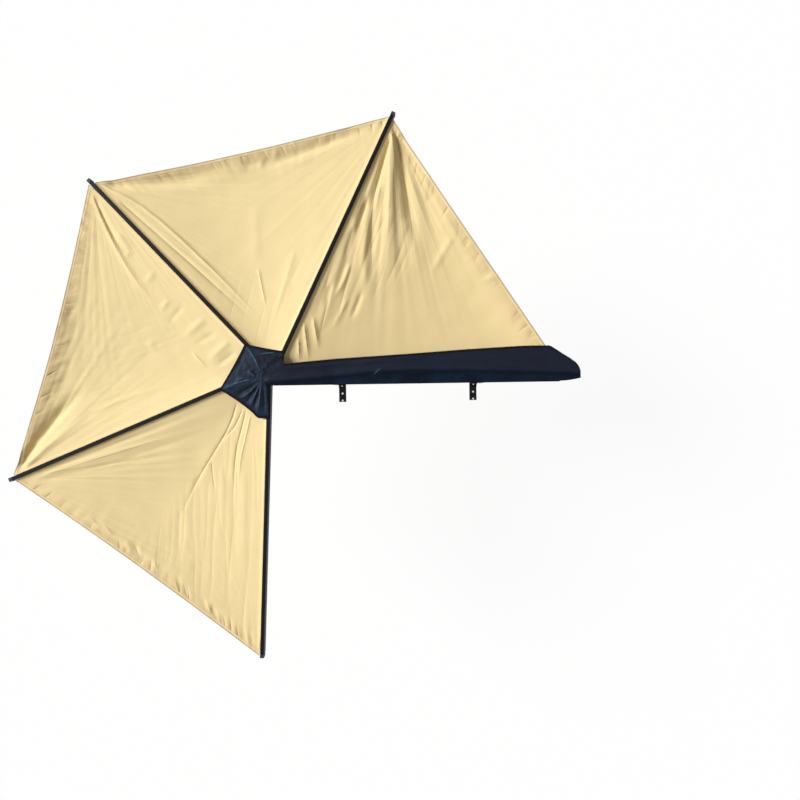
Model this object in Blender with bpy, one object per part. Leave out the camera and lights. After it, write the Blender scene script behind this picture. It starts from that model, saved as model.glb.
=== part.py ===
# Vehicle side awning, 270 degree fan type, opened.
# The frame's origin is under the rear mounting bracket's foot, on the rack it is bolted to.
# +X runs forward along the vehicle, +Y points away from the vehicle and +Z up.

import math

import bmesh
import bpy
from mathutils import Vector

MM = 0.001
GAP = 0.3 * MM                      # clearance between faces that touch

# Places along and across the vehicle, from the pivot pin
REAR_BRACKET_X = 536 * MM
BRACKET_SPACING = 924 * MM
RACK_BOLTS_Y = -198 * MM            # middle of each bracket's pair of rack bolts
RACK_BOLT_SPACING = 50 * MM

# Back rail
RAIL_END_X = 2060 * MM
RAIL_DEPTH = 28 * MM
RAIL_HEIGHT = 59.4 * MM
RAIL_BASE_Z = 5.3 * MM
RAIL_WALL = 2.5 * MM
T_SLOT_MOUTH = 9 * MM
T_SLOT_WIDTH = 18 * MM
T_SLOT_DEPTH = 6 * MM
END_CAP_THICKNESS = 3.2 * MM

# Bead grooves, the same in the rail and in the rafters
GROOVE_RADIUS = 3.2 * MM
GROOVE_MOUTH = 2.6 * MM
GROOVE_INSET = 3.8 * MM             # from the face to the groove's centre
BEAD_RADIUS = 2.6 * MM
CLOTH = 1.2 * MM
COVER_CLOTH = 1.6 * MM

# Arms, numbered from the rail round to the rear
ARM_ANGLES = (64.5, 133.0, 202.4, 267.6)               # degrees from the rail, open
ARM_REACHES = (2020 * MM, 1825 * MM, 1955 * MM, 2020 * MM)
ARM_OFFSETS = (-65 * MM, -29 * MM, 2 * MM, 33 * MM)    # beside the pin, so they fold side by side
ARM_RAIL_CLEARANCE = 4 * MM         # from the folded first arm to the rail
RAFTER_WIDTH = 26 * MM
RAFTER_HEIGHT = 59 * MM
RAFTER_WALL = 2 * MM
RAFTER_ROUND = 3 * MM
CHANNEL_HEIGHT = 25 * MM
GROOVE_HEIGHT = 46 * MM             # groove's centre above the rafter's bottom
RAFTER_START = 130 * MM
ROOT_START = 106 * MM               # where a knuckle leaves its own layer of the stack
PLUG_LENGTH = 60 * MM

# Hub
PIN_RADIUS = 8 * MM
PIN_HEAD_RADIUS = 15 * MM
PIN_HEAD_HEIGHT = 9 * MM
NUT_RADIUS = 14 * MM
NUT_HEIGHT = 12 * MM
EYE_RADIUS = 22 * MM
YOKE_PLATE = 4 * MM
YOKE_EYE_RADIUS = 25 * MM
YOKE_CLASP = 130 * MM               # length of rail between the yoke's plates
YOKE_WEB = 5 * MM
ARM_WEB_CLEARANCE = 4 * MM          # from the open last arm to the yoke's web
WASHER_THICKNESS = 2 * MM
HUB_BOLT_RADIUS = 4 * MM
BOLT_HEAD_RADIUS = 7.5 * MM
BOLT_HEAD_HEIGHT = 5.5 * MM

# Mounting brackets
BRACKET_WIDTH = 50 * MM
BRACKET_PLATE = 6 * MM
BRACKET_HEIGHT = 60 * MM
BRACKET_EDGE = 10 * MM              # from the outer rack bolt to the foot's end
BRACKET_GUSSET = 30 * MM
RACK_BOLT_RADIUS = 4 * MM
RACK_BOLT_DROP = 18 * MM            # thread below the foot

# Legs
LEG_PIN_RADIUS = 4 * MM
LEG_PIN_HEAD_RADIUS = 6.5 * MM
LEG_PIN_HEAD = 2 * MM
LEG_EYE_RADIUS = 10.5 * MM
LEG_EYE_WIDTH = 12.4 * MM
EAR_RADIUS = 12 * MM
LEG_HEIGHT = 14 * MM                # leg's axis above the rafter's bottom
RAFTER_TO_LEG_PIN = 15 * MM
LEG_START = 14 * MM
LEG_OUTER_RADIUS = 9.5 * MM
LEG_WALL = 1.3 * MM
LEG_CLEARANCE = 0.4 * MM
LEG_OUTER_END = 1090 * MM
LEG_MIDDLE_END = 1125 * MM
LEG_INNER_END = 1150 * MM
LEG_FOOT_END = 1175 * MM
COLLAR_LENGTH = 30 * MM
COLLAR_WALL = 1.2 * MM
FOOT_RADIUS = 10.4 * MM

# Fabric
PANEL_START = 150 * MM
PANEL_TIP_MARGIN = 66 * MM          # arm that shows past the fabric's corner
PANEL_RAIL_END = 2045 * MM
PANEL_SAGS = (44 * MM, 34 * MM, 36 * MM, 34 * MM)
HEM_CURVES = (38 * MM, 30 * MM, 38 * MM, 22 * MM)
FOLD_HEIGHTS = (15 * MM, 7 * MM, 9 * MM, 6 * MM)
FOLD_COUNTS = (3.5, 3.0, 3.0, 2.5)
PANEL_COLUMNS = 14
PANEL_ROWS = 13
STEM_LENGTH = 2 * MM                # cloth between a bead's groove and its first bend

# Travel cover's flaps, from the pivot pin
FLAP_EDGE = (
    (45 * MM, -12 * MM), (126 * MM, 25 * MM), (1051 * MM, 89 * MM), (1976 * MM, 131 * MM),
    (2067 * MM, 102 * MM), (2180 * MM, -2 * MM), (2205 * MM, -40 * MM),
)
FLAP_CLEARANCE = 2.6 * MM           # the flap's upper side above the rail's top
FLAP_WAVE = 5 * MM
FLAP_WAVES_PER_METRE = 9.0
FLAP_TIP_DROOP = 0.06               # for each metre past the rail's end
FLAP_CORNER_CURVE = 1.9
HUB_RISE = 12 * MM                  # the flap's rise over the yoke
HUB_RISE_START = 190 * MM
HUB_RISE_LENGTH = 90 * MM
LOWER_FLAP_DEPTH = 165 * MM
LOWER_FLAP_WAVE = 7 * MM
LOWER_FLAP_LEAN = 10 * MM
LOWER_WAVES_PER_METRE = 11.0

# Hub cover: one tie on each of the first three arms, two on the last, one on the yoke
HUB_COVER_TIES = (
    (139 * MM, 127 * MM), (-136 * MM, 183 * MM), (-318 * MM, -134 * MM),
    (-54 * MM, -338 * MM), (34 * MM, -342 * MM), (38 * MM, -104 * MM),
)
HUB_COVER_CENTRE = (-12 * MM, -24 * MM)
HUB_COVER_BOW = 0.09                # share of each side's length
HUB_COVER_MOST_BOW = 24 * MM
HUB_COVER_DROOP = 0.12              # share of the bow

ROUND_STEPS = 16
SHARP_ANGLE = math.radians(32)

# Values that follow from the ones above
ARM_Z = RAIL_BASE_Z + 0.2 * MM
GROOVE_Z = ARM_Z + GROOVE_HEIGHT
RAIL_FRONT_Y = ARM_OFFSETS[0] - RAFTER_WIDTH / 2 - ARM_RAIL_CLEARANCE
RAIL_BACK_Y = RAIL_FRONT_Y - RAIL_DEPTH
RAIL_TOP_Z = RAIL_BASE_Z + RAIL_HEIGHT
RAIL_MID_Z = RAIL_BASE_Z + RAIL_HEIGHT / 2
STACK_BOTTOM = RAIL_BASE_Z - GAP
STACK_TOP = RAIL_TOP_Z + GAP
YOKE_TOP = STACK_TOP + YOKE_PLATE
YOKE_BOTTOM = STACK_BOTTOM - YOKE_PLATE
WASHER_COUNT = len(ARM_ANGLES) + 1
KNUCKLE_THICKNESS = (
    STACK_TOP - STACK_BOTTOM
    - WASHER_COUNT * (WASHER_THICKNESS + 2 * GAP)
) / len(ARM_ANGLES)
STACK_PITCH = KNUCKLE_THICKNESS + WASHER_THICKNESS + 2 * GAP
WEB_X = ARM_OFFSETS[3] + RAFTER_WIDTH / 2 + ARM_WEB_CLEARANCE
RAIL_START_X = WEB_X + YOKE_WEB + GAP
HUB_BOLTS_X = (RAIL_START_X + 30 * MM, RAIL_START_X + YOKE_CLASP - 20 * MM)
HUB_BOLT_Y = RAIL_BACK_Y + RAIL_DEPTH / 2
HOLLOW_HALF = RAFTER_WIDTH / 2 - RAFTER_WALL
WAIST_HALF = RAFTER_WIDTH / 2 - GROOVE_INSET - GROOVE_RADIUS - 1 * MM
COVER_BEAD_Y = RAIL_BACK_Y + RAIL_WALL + GROOVE_RADIUS
COVER_BEAD_START = RAIL_START_X + YOKE_CLASP + 8 * MM
COVER_BEAD_END = RAIL_END_X - 6 * MM
TIE_OVER_ARM = ARM_Z + RAFTER_HEIGHT + 3.5 * MM
TIE_OVER_YOKE = YOKE_TOP + 12 * MM
HUB_COVER_APEX = YOKE_TOP + PIN_HEAD_HEIGHT + 9 * MM

for leftover in list(bpy.data.objects):
    bpy.data.objects.remove(leftover, do_unlink=True)


def material(name, colour, roughness, metallic=0.0):
    """A Principled material, made once for each name."""
    made = bpy.data.materials.get(name) or bpy.data.materials.new(name)
    made.use_nodes = True
    shader = made.node_tree.nodes["Principled BSDF"]
    shader.inputs["Base Color"].default_value = (*colour, 1.0)
    shader.inputs["Roughness"].default_value = roughness
    shader.inputs["Metallic"].default_value = metallic
    made.diffuse_color = (*colour, 1.0)
    return made


BLACK_COAT = material("black_powder_coat", (0.018, 0.020, 0.024), 0.45, 0.0)
STEEL = material("zinc_plated_steel", (0.42, 0.42, 0.43), 0.35, 1.0)
LEG_ALUMINIUM = material("anodised_aluminium", (0.33, 0.34, 0.36), 0.35, 1.0)
PLASTIC = material("black_moulded_plastic", (0.02, 0.02, 0.022), 0.5)
NYLON = material("white_nylon", (0.75, 0.74, 0.70), 0.5)
RUBBER = material("black_rubber", (0.015, 0.015, 0.015), 0.8)
CANVAS = material("tan_canvas", (0.80, 0.66, 0.40), 0.85)
COVER = material("navy_coated_cover_cloth", (0.016, 0.027, 0.045), 0.55)


def axis_empty(name, place, turn=0.0, parent=None):
    """An empty on a joint's axis, which carries the pieces that move about it."""
    empty = bpy.data.objects.new(name, None)
    empty.location = place
    empty.rotation_euler = (0.0, 0.0, turn)
    empty.parent = parent
    bpy.context.scene.collection.objects.link(empty)
    return empty


def piece(name, mesh_in_progress, finish, parent):
    """Store a bmesh as an object of its own, with its faces pointing out."""
    bmesh.ops.recalc_face_normals(mesh_in_progress, faces=mesh_in_progress.faces)
    mesh = bpy.data.meshes.new(name)
    mesh_in_progress.to_mesh(mesh)
    mesh_in_progress.free()
    mesh.shade_smooth()
    mesh.set_sharp_from_angle(angle=SHARP_ANGLE)
    mesh.materials.append(finish)
    made = bpy.data.objects.new(name, mesh)
    made.parent = parent
    bpy.context.scene.collection.objects.link(made)
    return made


def combine(target, tool, operation):
    """Join the tool to the target, or cut it out, and remove the tool."""
    change = target.modifiers.new(operation, "BOOLEAN")
    change.operation = operation
    change.solver = "EXACT"
    change.object = tool
    bpy.context.view_layer.update()
    evaluated = target.evaluated_get(bpy.context.evaluated_depsgraph_get())
    mesh = bpy.data.meshes.new_from_object(evaluated)
    target.modifiers.remove(change)
    target.data = mesh
    mesh.set_sharp_from_angle(angle=SHARP_ANGLE)
    bpy.data.objects.remove(tool, do_unlink=True)
    return target


def prism(outline, start, end, along="x"):
    """Extrude a closed outline. Its points are (y, z) along x, (x, z) along y and (x, y) along z."""
    place = {
        "x": lambda a, b, t: (t, a, b),
        "y": lambda a, b, t: (a, t, b),
        "z": lambda a, b, t: (a, b, t),
    }[along]
    body = bmesh.new()
    near = [body.verts.new(place(a, b, start)) for a, b in outline]
    far = [body.verts.new(place(a, b, end)) for a, b in outline]
    body.faces.new(near)
    body.faces.new(far)
    count = len(outline)
    for i in range(count):
        j = (i + 1) % count
        body.faces.new((near[i], near[j], far[j], far[i]))
    return body


def box(low, high):
    """A box between two corners."""
    outline = [(low[0], low[1]), (high[0], low[1]), (high[0], high[1]), (low[0], high[1])]
    return prism(outline, low[2], high[2], along="z")


def arc(centre, radius, start, end, steps):
    """Points on an arc, in degrees, both ends included."""
    points = []
    for i in range(steps + 1):
        angle = math.radians(start + (end - start) * i / steps)
        points.append((centre[0] + radius * math.cos(angle), centre[1] + radius * math.sin(angle)))
    return points


def circle(centre, radius, steps=ROUND_STEPS, turn=0.0):
    """A closed circle, whose last point isn't repeated."""
    return arc(centre, radius, turn, turn + 360.0, steps)[:-1]


def turned(profile, closed, steps=ROUND_STEPS):
    """Turn (x, radius) points about the X axis. A closed profile joins its last point to its first."""
    body = bmesh.new()
    rings = []
    for x, radius in profile:
        if radius == 0.0:
            rings.append([body.verts.new((x, 0.0, 0.0))])
            continue
        ring = []
        for i in range(steps):
            angle = 2.0 * math.pi * i / steps
            ring.append(body.verts.new((x, radius * math.cos(angle), radius * math.sin(angle))))
        rings.append(ring)
    pairs = list(zip(rings, rings[1:]))
    if closed:
        pairs.append((rings[-1], rings[0]))
    for first, second in pairs:
        if len(first) == len(second) == 1:
            continue
        for i in range(steps):
            j = (i + 1) % steps
            corners = [first[i % len(first)], first[j % len(first)]]
            corners += [second[j % len(second)], second[i % len(second)]]
            body.faces.new(list(dict.fromkeys(corners)))
    return body


def bolt(name, place, radius, head_radius, head_height, length, finish, parent):
    """A hexagon bolt that hangs from its head's underside at the given place."""
    x, y, z = place
    made = piece(name, prism(circle((x, y), head_radius, 6), z, z + head_height, "z"), finish, parent)
    shank = prism(circle((x, y), radius, 12), z - length, z + head_height / 2, "z")
    return combine(made, piece(name + "_shank", shank, finish, parent), "UNION")


def cut_hole(target, centre, radius, low, high, along="z", steps=12):
    """Drill a round hole through the target."""
    drill = piece("drill", prism(circle(centre, radius, steps), low, high, along), STEEL, target.parent)
    return combine(target, drill, "DIFFERENCE")


def bead_groove(mouth, along, inward):
    """A keyhole groove's points, from one lip round to the other, as the outline passes it."""
    half = GROOVE_MOUTH / 2
    centre = Vector(mouth) + Vector(inward) * GROOVE_INSET
    first = math.asin(half / GROOVE_RADIUS)
    points = [tuple(Vector(mouth) - Vector(along) * half)]
    steps = 7
    for i in range(steps + 1):
        angle = first + (2.0 * math.pi - 2.0 * first) * i / steps
        offset = -math.cos(angle) * Vector(inward) - math.sin(angle) * Vector(along)
        points.append(tuple(centre + offset * GROOVE_RADIUS))
    points.append(tuple(Vector(mouth) + Vector(along) * half))
    return points


# The pivot pin's axis carries every piece
hub_axis = axis_empty("hub_axis", (-REAR_BRACKET_X, -RACK_BOLTS_Y, 0.0))


def back_rail():
    """The extrusion on the vehicle's side: T-slot behind, bead grooves in front, on top and below."""
    back, front = RAIL_BACK_Y, RAIL_FRONT_Y
    low, high = RAIL_BASE_Z, RAIL_TOP_Z
    mouth, width = T_SLOT_MOUTH / 2, T_SLOT_WIDTH / 2
    neck = back + RAIL_WALL
    floor = neck + T_SLOT_DEPTH
    outline = [(back, low)]
    outline += bead_groove((COVER_BEAD_Y, low), (1, 0), (0, 1))
    outline += [(front, low)]
    outline += bead_groove((front, GROOVE_Z), (0, 1), (-1, 0))
    outline += [(front, high)]
    outline += bead_groove((COVER_BEAD_Y, high), (-1, 0), (0, -1))
    outline += [(back, high), (back, RAIL_MID_Z + mouth), (neck, RAIL_MID_Z + mouth)]
    outline += [(neck, RAIL_MID_Z + width), (floor, RAIL_MID_Z + width)]
    outline += [(floor, RAIL_MID_Z - width), (neck, RAIL_MID_Z - width)]
    outline += [(neck, RAIL_MID_Z - mouth), (back, RAIL_MID_Z - mouth)]
    rail = piece("back_rail", prism(outline, RAIL_START_X, RAIL_END_X), BLACK_COAT, hub_axis)
    hollow = piece("hollow", prism(rail_hollow(0.0), 0.0, 2 * RAIL_END_X), STEEL, hub_axis)
    combine(rail, hollow, "DIFFERENCE")
    for x in HUB_BOLTS_X:
        cut_hole(rail, (x, HUB_BOLT_Y), HUB_BOLT_RADIUS + GAP, 0.0, 2 * RAIL_TOP_Z)
    return rail


def rail_hollow(shrink):
    """The rail's chamber, between the T-slot's floor and the front groove."""
    low_y = RAIL_BACK_Y + 2 * RAIL_WALL + T_SLOT_DEPTH + shrink
    high_y = RAIL_FRONT_Y - GROOVE_INSET - GROOVE_RADIUS - RAIL_WALL / 2 - shrink
    low_z = RAIL_BASE_Z + RAIL_WALL + shrink
    high_z = RAIL_TOP_Z - RAIL_WALL - shrink
    return [(low_y, low_z), (high_y, low_z), (high_y, high_z), (low_y, high_z)]


def rail_end_cap():
    """A moulded cap, plugged into the rail's chamber."""
    low, high = RAIL_BASE_Z, RAIL_TOP_Z
    start = RAIL_END_X + GAP
    corner = 4 * MM
    outline = arc((RAIL_FRONT_Y - corner, high - corner), corner, 0, 90, 3)
    outline += arc((RAIL_BACK_Y + corner, high - corner), corner, 90, 180, 3)
    outline += arc((RAIL_BACK_Y + corner, low + corner), corner, 180, 270, 3)
    outline += arc((RAIL_FRONT_Y - corner, low + corner), corner, 270, 360, 3)
    plate = prism(outline, start, start + END_CAP_THICKNESS)
    cap = piece("rail_end_cap", plate, PLASTIC, hub_axis)
    plug = prism(rail_hollow(GAP), RAIL_END_X - 20 * MM, start + END_CAP_THICKNESS / 2)
    return combine(cap, piece("plug", plug, PLASTIC, hub_axis), "UNION")


def yoke_outline():
    """The yoke plate in plan: an eye round the pin, widened to clasp the rail's end."""
    end = RAIL_START_X + YOKE_CLASP
    outline = arc((0.0, 0.0), YOKE_EYE_RADIUS, 30, 215, 12)
    outline += [(WEB_X, RAIL_BACK_Y + 12 * MM), (WEB_X, RAIL_BACK_Y)]
    outline += [(end - 8 * MM, RAIL_BACK_Y), (end, RAIL_BACK_Y + 8 * MM)]
    outline += [(end, RAIL_FRONT_Y + 1 * MM), (ROOT_START - 4 * MM, RAIL_FRONT_Y + 1 * MM)]
    return outline


def hub_bracket():
    """Two plates and a web, welded into a yoke that holds the pin above and below the knuckles."""
    top = prism(yoke_outline(), STACK_TOP, YOKE_TOP, "z")
    bracket = piece("hub_bracket", top, BLACK_COAT, hub_axis)
    bottom = prism(yoke_outline(), YOKE_BOTTOM, STACK_BOTTOM, "z")
    combine(bracket, piece("bottom", bottom, BLACK_COAT, hub_axis), "UNION")
    inset = 1 * MM
    web_low = (WEB_X, RAIL_BACK_Y, STACK_BOTTOM - inset)
    web_high = (WEB_X + YOKE_WEB, RAIL_FRONT_Y + inset, STACK_TOP + inset)
    combine(bracket, piece("web", box(web_low, web_high), BLACK_COAT, hub_axis), "UNION")
    cut_hole(bracket, (0.0, 0.0), PIN_RADIUS + GAP, YOKE_BOTTOM - MM, YOKE_TOP + MM, "z", 20)
    for x in HUB_BOLTS_X:
        cut_hole(bracket, (x, HUB_BOLT_Y), HUB_BOLT_RADIUS + GAP, YOKE_BOTTOM - MM, YOKE_TOP + MM)
    return bracket


def pivot_pin_and_nut():
    """The pin has a low round head on top and a thread for a hexagon nut below."""
    head_z = YOKE_TOP + GAP
    nut_top = YOKE_BOTTOM - GAP
    shank_end = nut_top - NUT_HEIGHT - 3 * MM
    chamfer = 3 * MM
    pin = piece(
        "pivot_pin",
        prism(circle((0.0, 0.0), PIN_RADIUS, 20), shank_end, head_z + PIN_HEAD_HEIGHT / 2, "z"),
        STEEL, hub_axis,
    )
    head = prism(circle((0.0, 0.0), PIN_HEAD_RADIUS, 20), head_z, head_z + PIN_HEAD_HEIGHT, "z")
    head.verts.ensure_lookup_table()
    for vertex in head.verts:
        if vertex.co.z > head_z + PIN_HEAD_HEIGHT / 2:
            vertex.co.x *= 1 - chamfer / PIN_HEAD_RADIUS
            vertex.co.y *= 1 - chamfer / PIN_HEAD_RADIUS
    combine(pin, piece("head", head, STEEL, hub_axis), "UNION")
    nut_body = prism(circle((0.0, 0.0), NUT_RADIUS, 6), nut_top - NUT_HEIGHT, nut_top, "z")
    nut = piece("pivot_nut", nut_body, STEEL, hub_axis)
    cut_hole(nut, (0.0, 0.0), PIN_RADIUS + GAP, nut_top - 2 * NUT_HEIGHT, nut_top + MM, "z", 20)


def thrust_washers():
    """Nylon washers above, between and below the knuckles."""
    for i in range(WASHER_COUNT):
        low = STACK_BOTTOM + GAP + i * STACK_PITCH
        disc = prism(circle((0.0, 0.0), EYE_RADIUS, 24), low, low + WASHER_THICKNESS, "z")
        washer = piece(f"thrust_washer_{i + 1}", disc, NYLON, hub_axis)
        cut_hole(washer, (0.0, 0.0), PIN_RADIUS + GAP, low - MM, low + 2 * WASHER_THICKNESS, "z", 20)


def hub_bolts():
    """Two bolts down through the yoke and the rail, into the lower plate's thread."""
    for i, x in enumerate(HUB_BOLTS_X):
        head = (x, HUB_BOLT_Y, YOKE_TOP + GAP)
        length = YOKE_TOP - YOKE_BOTTOM
        bolt(f"hub_bolt_{i + 1}", head, HUB_BOLT_RADIUS, BOLT_HEAD_RADIUS, BOLT_HEAD_HEIGHT,
             length, STEEL, hub_axis)


def mounting_bracket(name, x):
    """A bent and gusseted plate from the rail's back to the rack, with its bolts."""
    half = BRACKET_WIDTH / 2
    wall_front = RAIL_BACK_Y - GAP
    wall_back = wall_front - BRACKET_PLATE
    foot_end = RACK_BOLTS_Y - RACK_BOLT_SPACING / 2 - BRACKET_EDGE
    bend = 5 * MM
    outline = [(foot_end, 0.0)]
    outline += arc((wall_front - bend, bend), bend, 270, 360, 3)
    outline += [(wall_front, BRACKET_HEIGHT), (wall_back, BRACKET_HEIGHT)]
    outline += [(wall_back, BRACKET_PLATE), (foot_end, BRACKET_PLATE)]
    bracket = piece(f"mounting_bracket_{name}", prism(outline, x - half, x + half), BLACK_COAT, hub_axis)
    inset = 0.5 * MM
    for side in (-1, 1):
        rib = [
            (wall_back + inset, BRACKET_PLATE - inset), (wall_back - BRACKET_GUSSET, BRACKET_PLATE - inset),
            (wall_back + inset, BRACKET_PLATE + BRACKET_GUSSET),
        ]
        outer = x + side * (half - inset)
        inner = outer - side * 4 * MM
        gusset = prism(rib, min(inner, outer), max(inner, outer))
        combine(bracket, piece("gusset", gusset, BLACK_COAT, hub_axis), "UNION")
    for number, side in ((1, 1), (2, -1)):
        y = RACK_BOLTS_Y + side * RACK_BOLT_SPACING / 2
        cut_hole(bracket, (x, y), RACK_BOLT_RADIUS + GAP, -MM, 2 * BRACKET_PLATE)
        length = BRACKET_PLATE + RACK_BOLT_DROP
        bolt(f"rack_bolt_{name}_{number}", (x, y, BRACKET_PLATE + GAP), RACK_BOLT_RADIUS,
             BOLT_HEAD_RADIUS, BOLT_HEAD_HEIGHT, length, STEEL, hub_axis)
    cut_hole(bracket, (x, RAIL_MID_Z), RACK_BOLT_RADIUS + GAP, wall_back - MM, wall_front + MM, "y")
    return bracket


def rail_bolt(name, x):
    """A T-headed bolt in the rail's slot, with its nut run up against the bracket."""
    slot_back = RAIL_BACK_Y + RAIL_WALL
    head_depth = T_SLOT_DEPTH - 2 * GAP
    half_height = T_SLOT_WIDTH / 2 - 2 * GAP
    head_low = (x - 9 * MM, slot_back + GAP, RAIL_MID_Z - half_height)
    head_high = (x + 9 * MM, slot_back + GAP + head_depth, RAIL_MID_Z + half_height)
    made = piece(f"rail_bolt_{name}", box(head_low, head_high), STEEL, hub_axis)
    nut_face = RAIL_BACK_Y - BRACKET_PLATE - 2 * GAP
    shank = prism(circle((x, RAIL_MID_Z), RACK_BOLT_RADIUS, 12), nut_face - 9 * MM, slot_back + 2 * MM, "y")
    combine(made, piece("shank", shank, STEEL, hub_axis), "UNION")
    nut = prism(circle((x, RAIL_MID_Z), BOLT_HEAD_RADIUS, 6), nut_face - 6.5 * MM, nut_face, "y")
    return combine(made, piece("nut", nut, STEEL, hub_axis), "UNION")


def rafter_outline():
    """The rafter's section: a grooved box above an open channel for the leg."""
    half, top, inner = RAFTER_WIDTH / 2, RAFTER_HEIGHT, RAFTER_WIDTH / 2 - RAFTER_WALL
    outline = [(half, 0.0)]
    outline += bead_groove((half, GROOVE_HEIGHT), (0, 1), (-1, 0))
    outline += arc((half - RAFTER_ROUND, top - RAFTER_ROUND), RAFTER_ROUND, 0, 90, 3)
    outline += arc((-half + RAFTER_ROUND, top - RAFTER_ROUND), RAFTER_ROUND, 90, 180, 3)
    outline += bead_groove((-half, GROOVE_HEIGHT), (0, -1), (1, 0))
    outline += [(-half, 0.0), (-inner, 0.0), (-inner, CHANNEL_HEIGHT)]
    outline += [(inner, CHANNEL_HEIGHT), (inner, 0.0)]
    return outline


def rafter_hollow():
    """The box's hollow, drawn in beside the two grooves."""
    low = CHANNEL_HEIGHT + RAFTER_WALL
    high = RAFTER_HEIGHT - RAFTER_WALL
    waist = GROOVE_RADIUS + 1.3 * MM
    step = 3.5 * MM
    right = [
        (HOLLOW_HALF, low), (HOLLOW_HALF, GROOVE_HEIGHT - waist - step),
        (WAIST_HALF, GROOVE_HEIGHT - waist), (WAIST_HALF, GROOVE_HEIGHT + waist),
        (HOLLOW_HALF - 2 * MM, GROOVE_HEIGHT + waist + step), (HOLLOW_HALF - 2 * MM, high),
    ]
    return right + [(-y, z) for y, z in reversed(right)]


def plug_outline(offset):
    """A plug that fits the hollow's waist."""
    half = WAIST_HALF - GAP
    low = ARM_Z + CHANNEL_HEIGHT + RAFTER_WALL + GAP
    high = ARM_Z + RAFTER_HEIGHT - RAFTER_WALL - GAP
    return [(offset - half, low), (offset + half, low), (offset + half, high), (offset - half, high)]


def rafter(number, parent):
    """One arm's extrusion, from its knuckle to its tip bracket."""
    offset = ARM_OFFSETS[number - 1]
    end = leg_pin_x(number) - RAFTER_TO_LEG_PIN
    outline = [(offset + y, ARM_Z + z) for y, z in rafter_outline()]
    made = piece(f"rafter_{number}", prism(outline, RAFTER_START, end), BLACK_COAT, parent)
    hollow = [(offset + y, ARM_Z + z) for y, z in rafter_hollow()]
    core = piece("core", prism(hollow, 0.0, 2 * end), BLACK_COAT, parent)
    return combine(made, core, "DIFFERENCE")


def leg_pin_x(number):
    """Where the leg's pin lies along its arm."""
    return ARM_REACHES[number - 1] - EAR_RADIUS


def knuckle(number, parent):
    """The arm's hinge: an eye in its own layer of the stack, cranked over to the rafter."""
    offset = ARM_OFFSETS[number - 1]
    half = RAFTER_WIDTH / 2
    neck = half - 3 * MM
    layer = len(ARM_ANGLES) - number
    low = STACK_BOTTOM + WASHER_THICKNESS + 2 * GAP + layer * STACK_PITCH
    bend_x = ROOT_START - 24 * MM
    lean = math.degrees(math.atan2(offset, bend_x))
    outline = arc((0.0, 0.0), EYE_RADIUS, 80 + lean, 280 + lean, 14)
    outline += [(bend_x, offset - neck), (ROOT_START + 2 * MM, offset - neck)]
    outline += [(ROOT_START + 2 * MM, offset + neck), (bend_x, offset + neck)]
    made = piece(f"knuckle_{number}", prism(outline, low, low + KNUCKLE_THICKNESS, "z"), BLACK_COAT, parent)
    root_end = RAFTER_START - GAP
    top = ARM_Z + RAFTER_HEIGHT
    root_low = (ROOT_START, offset - half, ARM_Z)
    root = piece("root", box(root_low, (root_end, offset + half, top)), BLACK_COAT, parent)
    combine(made, root, "UNION")
    plug = prism(plug_outline(offset), root_end - MM, root_end + PLUG_LENGTH)
    combine(made, piece("plug", plug, BLACK_COAT, parent), "UNION")
    cut_hole(made, (0.0, 0.0), PIN_RADIUS + GAP, low - MM, low + 2 * KNUCKLE_THICKNESS, "z", 20)
    return made


def tip_bracket(number, parent):
    """The arm's end fitting: a plug in the rafter, and two ears that hold the leg's pin."""
    offset = ARM_OFFSETS[number - 1]
    pin_x = leg_pin_x(number)
    pin_z = ARM_Z + LEG_HEIGHT
    start = pin_x - RAFTER_TO_LEG_PIN + GAP
    top = ARM_Z + RAFTER_HEIGHT
    ceiling = ARM_Z + CHANNEL_HEIGHT
    nose = 9 * MM
    outline = [(start, ceiling)]
    outline += [(pin_x - EAR_RADIUS, ceiling)]
    outline += arc((pin_x, pin_z), EAR_RADIUS, 180, 360, 8)
    outline += arc((pin_x + EAR_RADIUS - nose, top - nose), nose, 0, 90, 4)
    outline += [(start, top)]
    half = RAFTER_WIDTH / 2
    head = prism(outline, offset - half, offset + half, "y")
    made = piece(f"tip_bracket_{number}", head, PLASTIC, parent)
    slot_half = LEG_EYE_WIDTH / 2 + GAP
    slot_low = (start - MM, offset - slot_half, ARM_Z - MM)
    slot_high = (pin_x + EAR_RADIUS + MM, offset + slot_half, pin_z + EAR_RADIUS + MM)
    combine(made, piece("slot", box(slot_low, slot_high), PLASTIC, parent), "DIFFERENCE")
    plug = prism(plug_outline(offset), start - PLUG_LENGTH, start + MM)
    combine(made, piece("plug", plug, PLASTIC, parent), "UNION")
    return cut_hole(made, (pin_x, pin_z), LEG_PIN_RADIUS + GAP, offset - 2 * half, offset + 2 * half, "y")


def leg_pin(number, parent):
    """The clevis pin that the leg turns on, with a head and a spring ring."""
    offset = ARM_OFFSETS[number - 1]
    centre = (leg_pin_x(number), ARM_Z + LEG_HEIGHT)
    face = RAFTER_WIDTH / 2 + GAP
    shank = prism(circle(centre, LEG_PIN_RADIUS, 12), offset - face - MM, offset + face + MM, "y")
    made = piece(f"leg_pin_{number}", shank, STEEL, parent)
    for side in (-1, 1):
        near = offset + side * face
        far = near + side * LEG_PIN_HEAD
        head = prism(circle(centre, LEG_PIN_HEAD_RADIUS, 12), min(near, far), max(near, far), "y")
        combine(made, piece("head", head, STEEL, parent), "UNION")
    return made


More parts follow.
